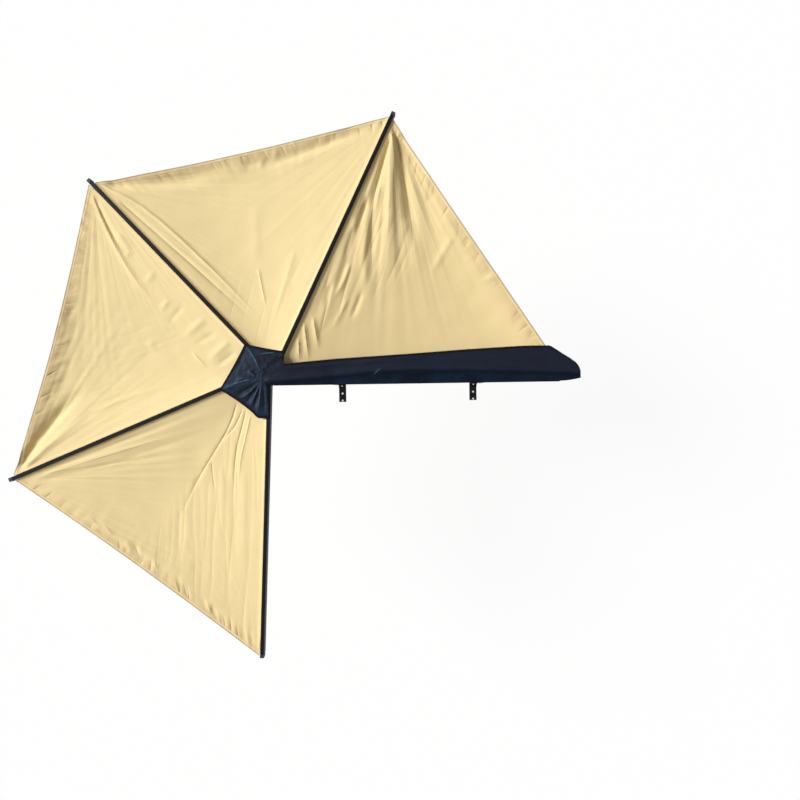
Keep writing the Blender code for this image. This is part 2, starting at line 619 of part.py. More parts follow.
def leg(number, arm):
    """Three telescopic tubes and a rubber foot, stowed in the rafter's channel."""
    place = (leg_pin_x(number), ARM_OFFSETS[number - 1], ARM_Z + LEG_HEIGHT)
    axis = axis_empty(f"leg_{number}_axis", place, math.pi, arm)
    outer_bore = LEG_OUTER_RADIUS - LEG_WALL
    middle = outer_bore - LEG_CLEARANCE
    middle_bore = middle - LEG_WALL
    inner = middle_bore - LEG_CLEARANCE
    inner_bore = inner - LEG_WALL
    bore_start = LEG_START + 16 * MM
    collar = LEG_OUTER_END - COLLAR_LENGTH
    tube = turned([
        (LEG_START, 0.0), (LEG_START, LEG_OUTER_RADIUS), (collar, LEG_OUTER_RADIUS),
        (collar, LEG_OUTER_RADIUS + COLLAR_WALL), (LEG_OUTER_END, LEG_OUTER_RADIUS + COLLAR_WALL),
        (LEG_OUTER_END, outer_bore), (bore_start, outer_bore), (bore_start, 0.0),
    ], closed=False)
    outer = piece(f"leg_outer_tube_{number}", tube, LEG_ALUMINIUM, axis)
    lug_outline = arc((0.0, 0.0), LEG_EYE_RADIUS, 60, 300, 10)
    lug_end, lug_half = LEG_START + 4 * MM, LEG_OUTER_RADIUS - 2 * MM
    lug_outline += [(lug_end, -lug_half), (lug_end, lug_half)]
    lug = prism(lug_outline, -LEG_EYE_WIDTH / 2, LEG_EYE_WIDTH / 2, "y")
    combine(outer, piece("lug", lug, LEG_ALUMINIUM, axis), "UNION")
    cut_hole(outer, (0.0, 0.0), LEG_PIN_RADIUS + GAP, -LEG_EYE_WIDTH, LEG_EYE_WIDTH, "y")

    collar = LEG_MIDDLE_END - COLLAR_LENGTH
    tube = turned([
        (bore_start + 10 * MM, middle), (collar, middle), (collar, middle + COLLAR_WALL),
        (LEG_MIDDLE_END, middle + COLLAR_WALL), (LEG_MIDDLE_END, middle_bore),
        (bore_start + 10 * MM, middle_bore),
    ], closed=True)
    piece(f"leg_middle_tube_{number}", tube, LEG_ALUMINIUM, axis)

    start = bore_start + 20 * MM
    tube = turned([
        (start, inner), (LEG_INNER_END, inner), (LEG_INNER_END, inner_bore), (start, inner_bore),
    ], closed=True)
    piece(f"leg_inner_tube_{number}", tube, LEG_ALUMINIUM, axis)

    sleeve = LEG_MIDDLE_END + 3 * MM
    seat = LEG_INNER_END + GAP
    rubber = turned([
        (sleeve, inner + 2 * MM), (seat, FOOT_RADIUS - MM), (seat + 6 * MM, FOOT_RADIUS),
        (LEG_FOOT_END - 3 * MM, FOOT_RADIUS), (LEG_FOOT_END, FOOT_RADIUS - 3 * MM),
        (LEG_FOOT_END, 0.0), (seat, 0.0), (seat, inner + GAP), (sleeve, inner + GAP),
    ], closed=True)
    piece(f"leg_foot_{number}", rubber, RUBBER, axis)


def arm_point(number, along, across):
    """A point beside an open arm, in the hub's plan."""
    angle = math.radians(ARM_ANGLES[number - 1])
    direction = Vector((math.cos(angle), math.sin(angle), 0.0))
    left = Vector((-direction.y, direction.x, 0.0))
    return direction * along + left * across


def panel_edge(number, side):
    """A panel's bead line: start, end and the way into the panel. Number 0 is the rail."""
    if number == 0:
        y = RAIL_FRONT_Y - GROOVE_INSET
        start = Vector((PANEL_START, y, GROOVE_Z))
        return start, Vector((PANEL_RAIL_END, y, GROOVE_Z)), Vector((0.0, 1.0, 0.0))
    across = ARM_OFFSETS[number - 1] + side * (RAFTER_WIDTH / 2 - GROOVE_INSET)
    rise = Vector((0.0, 0.0, GROOVE_Z))
    start = arm_point(number, PANEL_START, across) + rise
    end = arm_point(number, ARM_REACHES[number - 1] - PANEL_TIP_MARGIN, across) + rise
    return start, end, arm_point(number, 0.0, side)


def panel_surface(first, second, u, v, index):
    """A point of the stretched cloth: u from edge to edge, v from the hub to the hem."""
    stem = GROOVE_INSET + STEM_LENGTH
    near = first[0].lerp(first[1], v) + first[2] * stem
    far = second[0].lerp(second[1], v) + second[2] * stem
    crown = 4.0 * u * (1.0 - u)
    point = near.lerp(far, u)
    inward = -Vector((point.x, point.y, 0.0)).normalized()
    point += inward * HEM_CURVES[index] * crown * v ** 3
    point.z -= PANEL_SAGS[index] * crown * (0.25 + 0.75 * math.sin(0.85 * math.pi * v))
    to_tip = second[1] - point
    swing = math.atan2(to_tip.y, to_tip.x)
    reach = math.exp(-((to_tip.length / 0.9) ** 2))
    point.z += FOLD_HEIGHTS[index] * crown * reach * math.sin(FOLD_COUNTS[index] * 2.0 * swing)
    return point


def triangulate_grid(body, grid):
    """Faces over a grid of vertices, split the same way in every layer, so that layers never cross."""
    for near, far in zip(grid, grid[1:]):
        for i in range(len(near) - 1):
            body.faces.new((near[i], near[i + 1], far[i + 1]))
            body.faces.new((near[i], far[i + 1], far[i]))


def canopy_panel(letter, index, parent):
    """One fabric panel, with the sewn bead of each straight edge in its groove."""
    first = panel_edge(index, 1)
    second = panel_edge(index + 1, -1)
    half = Vector((0.0, 0.0, CLOTH / 2))
    lift = Vector((0.0, 0.0, 1.0))
    body = bmesh.new()
    loops = []
    for row in range(PANEL_ROWS + 1):
        v = row / PANEL_ROWS
        sheet = [panel_surface(first, second, i / PANEL_COLUMNS, v, index) for i in range(PANEL_COLUMNS + 1)]
        loop = [point + half for point in sheet]
        loop += bead_ring(second, v, lift, 1)
        loop += [point - half for point in reversed(sheet)]
        loop += bead_ring(first, v, lift, -1)
        loops.append([body.verts.new(point) for point in loop])
    count = len(loops[0])
    columns = PANEL_COLUMNS + 1
    ring = (count - 2 * columns) // 2
    tops = [loop[:columns] for loop in loops]
    bottoms = [loop[columns + ring:2 * columns + ring][::-1] for loop in loops]
    triangulate_grid(body, tops)
    triangulate_grid(body, bottoms)
    bead_steps = list(range(columns - 1, columns + ring)) + list(range(2 * columns + ring - 1, count))
    for near, far in zip(loops, loops[1:]):
        for i in bead_steps:
            j = (i + 1) % count
            body.faces.new((near[i], near[j], far[j], far[i]))
    for end in (0, -1):
        loop, top, bottom = loops[end], tops[end], bottoms[end]
        for i in range(PANEL_COLUMNS):
            body.faces.new((top[i], top[i + 1], bottom[i + 1], bottom[i]))
        body.faces.new([top[-1]] + loop[columns:columns + ring] + [bottom[-1]])
        body.faces.new([bottom[0]] + loop[2 * columns + ring:] + [top[0]])
    return piece(f"canopy_panel_{letter}", body, CANVAS, parent)


def bead_ring(edge, v, lift, order):
    """Points round the bead, from above the cloth to below it, or back again."""
    centre = edge[0].lerp(edge[1], v)
    first = math.asin(CLOTH / 2 / BEAD_RADIUS)
    steps = 6
    points = []
    for i in range(steps + 1):
        angle = first + (2.0 * math.pi - 2.0 * first) * i / steps
        points.append(centre + BEAD_RADIUS * (math.cos(angle) * edge[2] + math.sin(angle) * lift))
    return points[::order]


def sheet(name, points, offset, finish, parent):
    """A closed sheet from a grid of points of one side, and the way to its other side."""
    body = bmesh.new()
    one_side = [[body.verts.new(point) for point in row] for row in points]
    other_side = [[body.verts.new(point + offset) for point in row] for row in points]
    triangulate_grid(body, one_side)
    triangulate_grid(body, other_side)
    rows, columns = len(points), len(points[0])
    for i in range(rows - 1):
        for j in (0, columns - 1):
            body.faces.new((one_side[i][j], one_side[i + 1][j], other_side[i + 1][j], other_side[i][j]))
    for j in range(columns - 1):
        for i in (0, rows - 1):
            body.faces.new((one_side[i][j], one_side[i][j + 1], other_side[i][j + 1], other_side[i][j]))
    return piece(name, body, finish, parent)


def flap_edge_y(x):
    """The opened cover's outer edge, which widens forward and is cut off at the front corner."""
    for (x0, y0), (x1, y1) in zip(FLAP_EDGE, FLAP_EDGE[1:]):
        if x <= x1:
            return y0 + (y1 - y0) * max(x - x0, 0.0) / (x1 - x0)
    return FLAP_EDGE[-1][1]


def cover_bead(face, direction):
    """The bead and its stem that hold a flap in the rail's groove."""
    centre = (COVER_BEAD_Y, face - direction * GROOVE_INSET)
    half = COVER_CLOTH / 2
    stem_z = face + direction * STEM_LENGTH
    spread = math.degrees(math.asin(half / BEAD_RADIUS))
    start = 90 * direction + spread
    outline = arc(centre, BEAD_RADIUS, start, start + 360 - 2 * spread, 7)
    outline += [(COVER_BEAD_Y + half * direction, stem_z), (COVER_BEAD_Y - half * direction, stem_z)]
    return piece("bead", prism(outline, COVER_BEAD_START, COVER_BEAD_END), COVER, hub_axis)


def cover_upper_flap():
    """The travel cover's upper half, laid open over the first panel."""
    columns, rows = 26, 6
    start, end = FLAP_EDGE[0][0], FLAP_EDGE[-1][0]
    lowest = RAIL_TOP_Z + FLAP_CLEARANCE
    grid = []
    for i in range(columns + 1):
        x = start + (end - start) * i / columns
        past_rail = max(0.0, x - RAIL_END_X)
        back = COVER_BEAD_Y - STEM_LENGTH + FLAP_CORNER_CURVE * past_rail ** 2
        near_hub = 1.0 - min(1.0, max(0.0, (x - HUB_RISE_START) / HUB_RISE_LENGTH))
        line = []
        for j in range(rows + 1):
            across = j / rows
            wave = FLAP_WAVE * math.sin(math.pi * across) * math.sin(FLAP_WAVES_PER_METRE * x)
            lean = FLAP_WAVE * across - FLAP_TIP_DROOP * past_rail * across
            z = lowest + HUB_RISE * near_hub + wave + lean
            line.append(Vector((x, back + (flap_edge_y(x) - back) * across, max(z, lowest))))
        grid.append(line)
    flap = sheet("cover_upper_flap", grid, Vector((0.0, 0.0, -COVER_CLOTH)), COVER, hub_axis)
    return combine(flap, cover_bead(RAIL_TOP_Z, 1), "UNION")


def cover_lower_flap():
    """The travel cover's lower half, which hangs below the rail."""
    columns, rows = 20, 5
    grid = []
    for i in range(columns + 1):
        x = COVER_BEAD_START + (COVER_BEAD_END - COVER_BEAD_START) * i / columns
        line = []
        for j in range(rows + 1):
            down = j / rows
            wave = LOWER_FLAP_WAVE * down * math.sin(LOWER_WAVES_PER_METRE * x)
            y = COVER_BEAD_Y + COVER_CLOTH / 2 + wave + LOWER_FLAP_LEAN * down ** 2
            line.append(Vector((x, y, RAIL_BASE_Z - MM - LOWER_FLAP_DEPTH * down)))
        grid.append(line)
    flap = sheet("cover_lower_flap", grid, Vector((0.0, -COVER_CLOTH, 0.0)), COVER, hub_axis)
    return combine(flap, cover_bead(RAIL_BASE_Z, -1), "UNION")


def hub_cover_rim(centre, parts_per_side):
    """Points round the hub cover's edge, with their droop. The edge bows inwards between its ties."""
    corners = []
    for number, (x, y) in enumerate(HUB_COVER_TIES, start=1):
        last = number == len(HUB_COVER_TIES)
        corners.append(Vector((x, y, TIE_OVER_YOKE if last else TIE_OVER_ARM)))
    rim = []
    for start, end in zip(corners, corners[1:] + corners[:1]):
        for i in range(parts_per_side):
            along = i / parts_per_side
            pull = min(HUB_COVER_BOW * (end - start).length, HUB_COVER_MOST_BOW)
            pull *= 4.0 * along * (1.0 - along)
            point = start.lerp(end, along)
            inward = Vector((centre.x - point.x, centre.y - point.y, 0.0)).normalized()
            rim.append((point + inward * pull, HUB_COVER_DROOP * pull))
    return rim


def hub_cover():
    """The sewn tent over the hub, tied down on each arm."""
    centre = Vector((*HUB_COVER_CENTRE, HUB_COVER_APEX))
    rim = hub_cover_rim(centre, 6)
    rows, steps = 6, len(rim)
    body = bmesh.new()
    layers = []
    for drop in (0.0, COVER_CLOTH):
        down = Vector((0.0, 0.0, drop))
        rings = [[body.verts.new(centre - down)] * (steps + 1)]
        for row in range(1, rows + 1):
            share = row / rows
            ring = []
            for point, droop in rim:
                spot = centre.lerp(point, share)
                spot.z = centre.z + (point.z - centre.z) * share ** 1.6 - droop * share ** 2
                ring.append(body.verts.new(spot - down))
            rings.append(ring + ring[:1])
        for i in range(steps):
            body.faces.new((rings[0][i], rings[1][i], rings[1][i + 1]))
        triangulate_grid(body, rings[1:])
        layers.append(rings)
    top, bottom = layers[0][-1], layers[1][-1]
    for i in range(steps):
        body.faces.new((top[i], top[i + 1], bottom[i + 1], bottom[i]))
    return piece("hub_cover", body, COVER, hub_axis)


back_rail()
rail_end_cap()
hub_bracket()
pivot_pin_and_nut()
thrust_washers()
hub_bolts()
for label, bracket_x in (("rear", REAR_BRACKET_X), ("front", REAR_BRACKET_X + BRACKET_SPACING)):
    mounting_bracket(label, bracket_x)
    rail_bolt(label, bracket_x)
for arm_number, arm_angle in enumerate(ARM_ANGLES, start=1):
    arm_axis = axis_empty(f"arm_{arm_number}_axis", (0.0, 0.0, 0.0), math.radians(arm_angle), hub_axis)
    rafter(arm_number, arm_axis)
    knuckle(arm_number, arm_axis)
    tip_bracket(arm_number, arm_axis)
    leg_pin(arm_number, arm_axis)
    leg(arm_number, arm_axis)
for panel_index, panel_letter in enumerate("abcd"):
    canopy_panel(panel_letter, panel_index, hub_axis)
cover_upper_flap()
cover_lower_flap()
hub_cover()
bpy.context.view_layer.update()
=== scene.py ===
import math

import bmesh
import bpy
import numpy as np
from mathutils import Euler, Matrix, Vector
from mathutils.noise import noise


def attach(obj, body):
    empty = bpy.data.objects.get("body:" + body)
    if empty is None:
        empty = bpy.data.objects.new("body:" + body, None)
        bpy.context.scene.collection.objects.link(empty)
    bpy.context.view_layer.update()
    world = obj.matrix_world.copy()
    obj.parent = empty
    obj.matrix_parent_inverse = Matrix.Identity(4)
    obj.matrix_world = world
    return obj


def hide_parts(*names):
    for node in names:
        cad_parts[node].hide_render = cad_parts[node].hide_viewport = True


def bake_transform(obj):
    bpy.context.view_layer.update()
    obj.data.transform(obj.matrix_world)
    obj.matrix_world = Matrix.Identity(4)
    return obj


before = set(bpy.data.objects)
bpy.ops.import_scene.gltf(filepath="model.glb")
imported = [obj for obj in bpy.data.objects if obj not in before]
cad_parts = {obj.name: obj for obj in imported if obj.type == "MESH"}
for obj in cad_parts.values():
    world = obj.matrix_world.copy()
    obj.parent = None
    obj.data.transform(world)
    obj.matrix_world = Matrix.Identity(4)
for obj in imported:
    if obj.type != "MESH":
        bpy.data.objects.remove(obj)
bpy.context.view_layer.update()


# The camera hangs straight over the opened awning, a little in front of its hub, and is turned
# by 0.85 degrees against the vehicle. One pixel of its 800 is 7 mm at the cloth's height.
camera_over_cloth = 4.1
cloth_height = 0.06
picture_width = 800 * 0.007
camera_data = bpy.data.cameras.new("overhead_camera")
camera_data.sensor_width = 36.0
camera_data.lens = camera_data.sensor_width * camera_over_cloth / picture_width
camera_data.clip_end = 60.0
camera = bpy.data.objects.new("overhead_camera", camera_data)
camera.location = (0.406, -0.027, cloth_height + camera_over_cloth)
camera.rotation_euler = (0.0, 0.0, math.radians(-0.85))
bpy.context.scene.collection.objects.link(camera)
bpy.context.scene.camera = camera
bpy.context.scene.view_settings.view_transform = "Standard"


# A soft studio: one broad lamp from the hub's side, where the picture's bright flanks face, pale
# air all round, and a white floor as far below as the ground is under a car's roof.
lamp_data = bpy.data.lights.new("key_lamp", "SUN")
lamp_data.energy = 4.1
lamp_data.angle = math.radians(24.0)
lamp_data.color = (1.0, 0.99, 0.965)
lamp = bpy.data.objects.new("key_lamp", lamp_data)
lamp.rotation_euler = Euler((0.0, math.radians(-53.0), math.radians(-19.0)))
bpy.context.scene.collection.objects.link(lamp)


def show_background(tree, lit, shown, share):
    """Mixes what the camera, gloss and glass see into a floor's or the world's own shader."""
    path = tree.nodes.new("ShaderNodeLightPath")
    seen = path.outputs["Is Camera Ray"]
    for ray in ("Is Glossy Ray", "Is Transmission Ray"):
        add = tree.nodes.new("ShaderNodeMath")
        add.operation = "MAXIMUM"
        tree.links.new(seen, add.inputs[0])
        tree.links.new(path.outputs[ray], add.inputs[1])
        seen = add.outputs[0]
    weight = tree.nodes.new("ShaderNodeMath")
    weight.operation = "MULTIPLY"
    weight.inputs[1].default_value = share
    tree.links.new(seen, weight.inputs[0])
    mix = tree.nodes.new("ShaderNodeMixShader")
    tree.links.new(weight.outputs[0], mix.inputs["Fac"])
    tree.links.new(lit.outputs[0], mix.inputs[1])
    tree.links.new(shown.outputs[0], mix.inputs[2])
    return mix.outputs[0]


world = bpy.data.worlds.new("studio_air")
world.use_nodes = True
air = world.node_tree.nodes["Background"]
air.inputs["Color"].default_value = (1.0, 0.97, 0.92, 1.0)
air.inputs["Strength"].default_value = 0.25
white_air = world.node_tree.nodes.new("ShaderNodeBackground")
white_air.inputs["Strength"].default_value = 1.0
white_air.inputs["Color"].default_value = (1.0, 1.0, 1.0, 1.0)
world.node_tree.links.new(
    show_background(world.node_tree, air, white_air, 1.0),
    world.node_tree.nodes["World Output"].inputs["Surface"],
)
bpy.context.scene.world = world

ground_z, far = -2.17, 40.0
floor_corners = [(x, y, ground_z) for x, y in ((-far, -far), (far, -far), (far, far), (-far, far))]
floor_mesh = bpy.data.meshes.new("studio_floor")
floor_mesh.from_pydata(floor_corners, [], [(0, 1, 2, 3)])
floor = bpy.data.objects.new("studio_floor", floor_mesh)
bpy.context.scene.collection.objects.link(floor)
floor_paint = bpy.data.materials.new("floor_paint")
floor_paint.use_nodes = True
floor_tree = floor_paint.node_tree
floor_lit = floor_tree.nodes["Principled BSDF"]
floor_lit.inputs["Base Color"].default_value = (0.9, 0.9, 0.9, 1.0)
floor_lit.inputs["Roughness"].default_value = 0.9
floor_shown = floor_tree.nodes.new("ShaderNodeEmission")
floor_shown.inputs["Strength"].default_value = 1.0
floor_tree.links.new(
    show_background(floor_tree, floor_lit, floor_shown, 0.93),
    floor_tree.nodes["Material Output"].inputs["Surface"],
)
floor_mesh.materials.append(floor_paint)


def adds_node(operation, swapped=False):
    """A Python operator on shades that adds a Math node."""
    def apply(shade, other):
        return shade.maths(operation, *((other, shade) if swapped else (shade, other)))
    return apply


class Shade:
    """A socket in a material's tree. Python's operators on it add Math nodes."""

    __add__ = __radd__ = adds_node("ADD")
    __sub__ = adds_node("SUBTRACT")
    __rsub__ = adds_node("SUBTRACT", swapped=True)
    __mul__ = __rmul__ = adds_node("MULTIPLY")
    __truediv__ = adds_node("DIVIDE")
    __pow__ = adds_node("POWER")

    def __init__(self, tree, socket):
        self.tree = tree
        self.socket = socket

    def maths(self, operation, *terms):
        node = self.tree.nodes.new("ShaderNodeMath")
        node.operation = operation
        for slot, term in zip(node.inputs, terms):
            if isinstance(term, Shade):
                self.tree.links.new(term.socket, slot)
            else:
                slot.default_value = term
        return Shade(self.tree, node.outputs[0])

    def to(self, operation):
        """The result of an operation that takes one term."""
        return self.maths(operation, self)


class Finish:
    """One of the awning's finishes: its node tree, its shader and the place its patterns read."""

    def __init__(self, name, **constants):
        self.material = bpy.data.materials.new(name)
        self.material.use_nodes = True
        self.tree = self.material.node_tree
        self.shader = self.tree.nodes["Principled BSDF"]
        for socket, value in constants.items():
            self.shader.inputs[socket.replace("_", " ")].default_value = value
        self.place = self.node("TexCoord", "Object")

    def node(self, kind, output, settings=None, inputs=None):
        node = self.tree.nodes.new("ShaderNode" + kind)
        for name, value in (settings or {}).items():
            setattr(node, name, value)
        for name, value in (inputs or {}).items():
            slot = next(s for s in node.inputs if name in (s.identifier, s.name))
            if isinstance(value, Shade):
                self.tree.links.new(value.socket, slot)
            else:
                slot.default_value = value
        made = next(s for s in node.outputs if output in (s.identifier, s.name))
        return Shade(self.tree, made)

    def read(self, mark):
        """A mark that the mesh carries at its points."""
        return self.node("Attribute", "Fac", {"attribute_name": mark})

    def cut(self):
        """The place in a cloth as it was cut, in metres, and its two axes."""
        place = self.node("UVMap", "UV", {"uv_map": "cut"})
        split = self.tree.nodes.new("ShaderNodeSeparateXYZ")
        self.tree.links.new(place.socket, split.inputs["Vector"])
        return place, Shade(self.tree, split.outputs["X"]), Shade(self.tree, split.outputs["Y"])

    def grain(self, scale, detail=2.0, roughness=0.5, vector=None):
        """Noise from 0 to 1, with features about 1 / scale metres across."""
        inputs = {"Scale": scale, "Detail": detail, "Roughness": roughness}
        return self.node("TexNoise", "Fac", {}, inputs | {"Vector": vector or self.place})

    def step(self, value, low, high):
        """0 below low, 1 above high, and smooth between them."""
        inputs = {"Value": value, "From Min": low, "From Max": high}
        return self.node("MapRange", "Result", {"interpolation_type": "SMOOTHSTEP"}, inputs)

    def stretched(self, vector, scale, turn=0.0):
        inputs = {"Vector": vector, "Scale": scale, "Rotation": (0.0, 0.0, turn)}
        return self.node("Mapping", "Vector", {}, inputs)

    def blend(self, share, first, second):
        inputs = {"Factor_Float": share, "A_Color": first, "B_Color": second}
        return self.node("Mix", "Result_Color", {"data_type": "RGBA"}, inputs)

    def relief(self, *layers):
        """Bumps from (height, distance in metres) pairs, one on another."""
        normal = None
        for height, distance in layers:
            inputs = {"Height": height, "Distance": distance, "Strength": 1.0}
            if normal:
                inputs["Normal"] = normal
            normal = self.node("Bump", "Normal", {}, inputs)
        self.give("Normal", normal)

    def coloured(self, base, *layers):
        """A base colour, with further colours laid over it by their shares."""
        base = paint(*base)
        for share, colour in layers:
            base = self.blend(share, base, paint(*colour))
        self.give("Base Color", base)

    def give(self, socket, value):
        self.tree.links.new(value.socket, self.shader.inputs[socket])


def paint(red, green, blue):
    """A colour as it shows, from 0 to 255, as the linear colour that a shader takes."""
    return tuple((channel / 255.0) ** 2.2 for channel in (red, green, blue)) + (1.0,)


def coat(finish, *names):
    """Gives CAD nodes their finish."""
    for name in names:
        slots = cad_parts[name].data.materials
        slots.clear()
        slots.append(finish.material)


# The rail, the arms' extrusions, the knuckles, the yoke and the mounting brackets are aluminium
# and steel under one black powder coat: a satin skin of fine orange peel, a little rubbed.
powder = Finish("black_powder_coat", Specular_IOR_Level=0.13)
peel = powder.grain(900.0, 1.0)
rubbed = powder.step(powder.grain(60.0, 6.0, 0.65), 0.60, 0.72)
rubbed = rubbed * powder.step(powder.grain(7.0, 2.0), 0.45, 0.65)
powder.coloured((9, 14, 19), (rubbed * 0.35, (46, 50, 54)))
powder.give("Roughness", 0.40 + 0.10 * powder.grain(25.0, 3.0) + 0.10 * rubbed)
powder.relief((peel, 0.00006))
arms = range(1, 5)
coat(powder, "back_rail", "hub_bracket", "mounting_bracket_rear", "mounting_bracket_front")
coat(powder, *(f"rafter_{n}" for n in arms), *(f"knuckle_{n}" for n in arms))


# Bolts, the hub's pin and nut and the legs' clevis pins are zinc-plated steel: bright, slightly
# blue and cloudy, with fine turning marks.
plated = Finish("zinc_plated_steel", Metallic=1.0)
cloudy = plated.grain(130.0, 4.0, 0.6)
plated.coloured((176, 180, 184), (cloudy, (206, 206, 200)))
plated.give("Roughness", 0.26 + 0.22 * plated.grain(45.0, 5.0))
plated.relief((plated.grain(1600.0, 1.0, 0.5, plated.stretched(plated.place, (1.0, 1.0, 9.0))), 0.00002))
coat(plated, "pivot_pin", "pivot_nut", "hub_bolt_1", "hub_bolt_2", "rail_bolt_rear", "rail_bolt_front")
coat(plated, *(f"rack_bolt_{end}_{n}" for end in ("rear", "front") for n in (1, 2)))
coat(plated, *(f"leg_pin_{n}" for n in arms))


# Thrust washers between the knuckles are turned from natural nylon, which greys where it rubs.
nylon = Finish("natural_nylon", Subsurface_Weight=0.1)
greyed = nylon.step(nylon.grain(220.0, 3.0), 0.5, 0.8)
nylon.coloured((226, 222, 208), (greyed * 0.4, (176, 172, 162)))
nylon.give("Roughness", 0.38 + 0.2 * greyed)
nylon.relief((nylon.grain(1200.0, 1.0), 0.00002))
coat(nylon, *(f"thrust_washer_{n}" for n in range(1, 6)))


# The rail's end cap and the arms' end fittings are moulded from glass-filled black nylon, which
# has a fine spark-eroded grain.
moulded = Finish("moulded_black_plastic", Specular_IOR_Level=0.4)
eroded = moulded.grain(2600.0, 2.0, 0.6)
moulded.coloured((27, 29, 31), (moulded.grain(30.0, 4.0), (36, 38, 40)))
moulded.give("Roughness", 0.50 + 0.12 * eroded)
moulded.relief((eroded, 0.00004))
coat(moulded, "rail_end_cap", *(f"tip_bracket_{n}" for n in arms))


# Each drop leg is three drawn aluminium tubes, anodised, with die lines along the tube and
# sliding marks on the two inner ones. Its foot is moulded rubber.
arm_angles = (64.5, 133.0, 202.4, 267.6)
for n, arm_angle in zip(arms, arm_angles):
    tube = Finish(f"anodised_tube_{n}", Metallic=1.0)
    along = tube.stretched(tube.place, (1.0, 60.0, 60.0), math.radians(-arm_angle))
    lines = tube.grain(20.0, 3.0, 0.6, along)
    scuffs = tube.step(tube.grain(45.0, 5.0, 0.7), 0.58, 0.7)
    tube.coloured((150, 154, 158), (lines, (186, 189, 192)))
    tube.give("Roughness", 0.26 + 0.16 * lines + 0.12 * scuffs)
    tube.relief((lines, 0.00003))
    coat(tube, *(f"leg_{part}_tube_{n}" for part in ("outer", "middle", "inner")))
rubber = Finish("black_rubber", Specular_IOR_Level=0.3)
bloom = rubber.grain(90.0, 4.0, 0.6)
rubber.coloured((24, 24, 24), (bloom, (46, 45, 43)))
rubber.give("Roughness", 0.72 + 0.2 * bloom)
rubber.relief((rubber.grain(900.0, 2.0), 0.00008))
coat(rubber, *(f"leg_foot_{n}" for n in arms))


# Four panels of tan ripstop canvas fill the spaces between the rail and the arms. Each is one
# sheet, stretched from the beads on its two straight edges, so it sags to the middle, rises to
# its hem, and pulls into folds that run from the arms' tips and from the hub.
hub = Vector((-0.536, 0.198, 0.0))
sky = (0.0, 0.0, 1.0)
arm_reaches = (2.020, 1.825, 1.955, 2.020)
arm_offsets = (-0.065, -0.029, 0.002, 0.033)
arm_half_width = 0.013
groove_inset = 0.0038
groove_z = 0.0515
groove_y = -0.0858
bead_radius = 0.0026
stem = 0.0058
stem_dip, stem_dip_width = 0.0065, 0.014
cloth = 0.0012
panel_start = 0.150
rail_panel_end = 2.045
tip_margin = 0.066
panel_depth = 1.9
panel_flat_length = 1.93
cloth_ceiling = groove_z + 0.008
free_inset = 0.05  # from an edge to where folds have their full height
crumple = 0.0022
crease_reach, crease_fade = 0.02, 0.006
sharp_edge = math.radians(40.0)
columns, rows = 170, 150
edge_shares = np.array((0.0, 0.0022, 0.0048, 0.0080, 0.0120))

# What sets the four panels apart, in metres or as shares of the width or depth.
sags = (0.082, 0.052, 0.050, 0.050)
sag_shapes = ((0.15, 0.75), (0.60, 0.0), (0.64, 0.0), (0.45, 0.5))  # deepest place, straightness
hem_rises = (0.10, 0.070, 0.055, 0.10)
hem_curves = (0.0, 0.030, 0.038, 0.022)
hem_reaches = ((0.0, 0.020), (0.030, 0.022), (0.045, 0.032), (0.032, 0.058))
hub_reaches = (0.040, 0.048, 0.010, 0.010)
corner_reach = 0.074  # the first panel's, at the rail's front end
fold_gains = (1.8, 1.3, 1.2, 1.1)
tip_names = ("first", "second")
tip_lines = ((0.0, 0.0048), (0.0012, 0.0026), (0.0020, 0.0026), (0.0040, 0.0006))
pucker_heights = (0.0040, 0.0120, 0.0120, 0.0110)
# Painted shade, as shares: over each whole panel here, and along each hem below.
painted_panel_shades = (0.35, 0.0, 0.0, 0.10)
painted_hem_shades = (0.3, 0.75, 1.0, 0.5)

# Short folds run side by side where the cloth is pulled one way: their direction in degrees,
# where they begin and end across and along the panel, and how strong they are.
drawn_folds = ((69, 0.55, 0.99, 0.12, 0.86, 1.0), (75, 0.1, 0.95, 0.0, 0.5, 0.25),
               (200, 0.3, 0.97, 0.05, 0.9, 0.25), (268, 0.42, 0.98, 0.18, 1.15, 0.5))

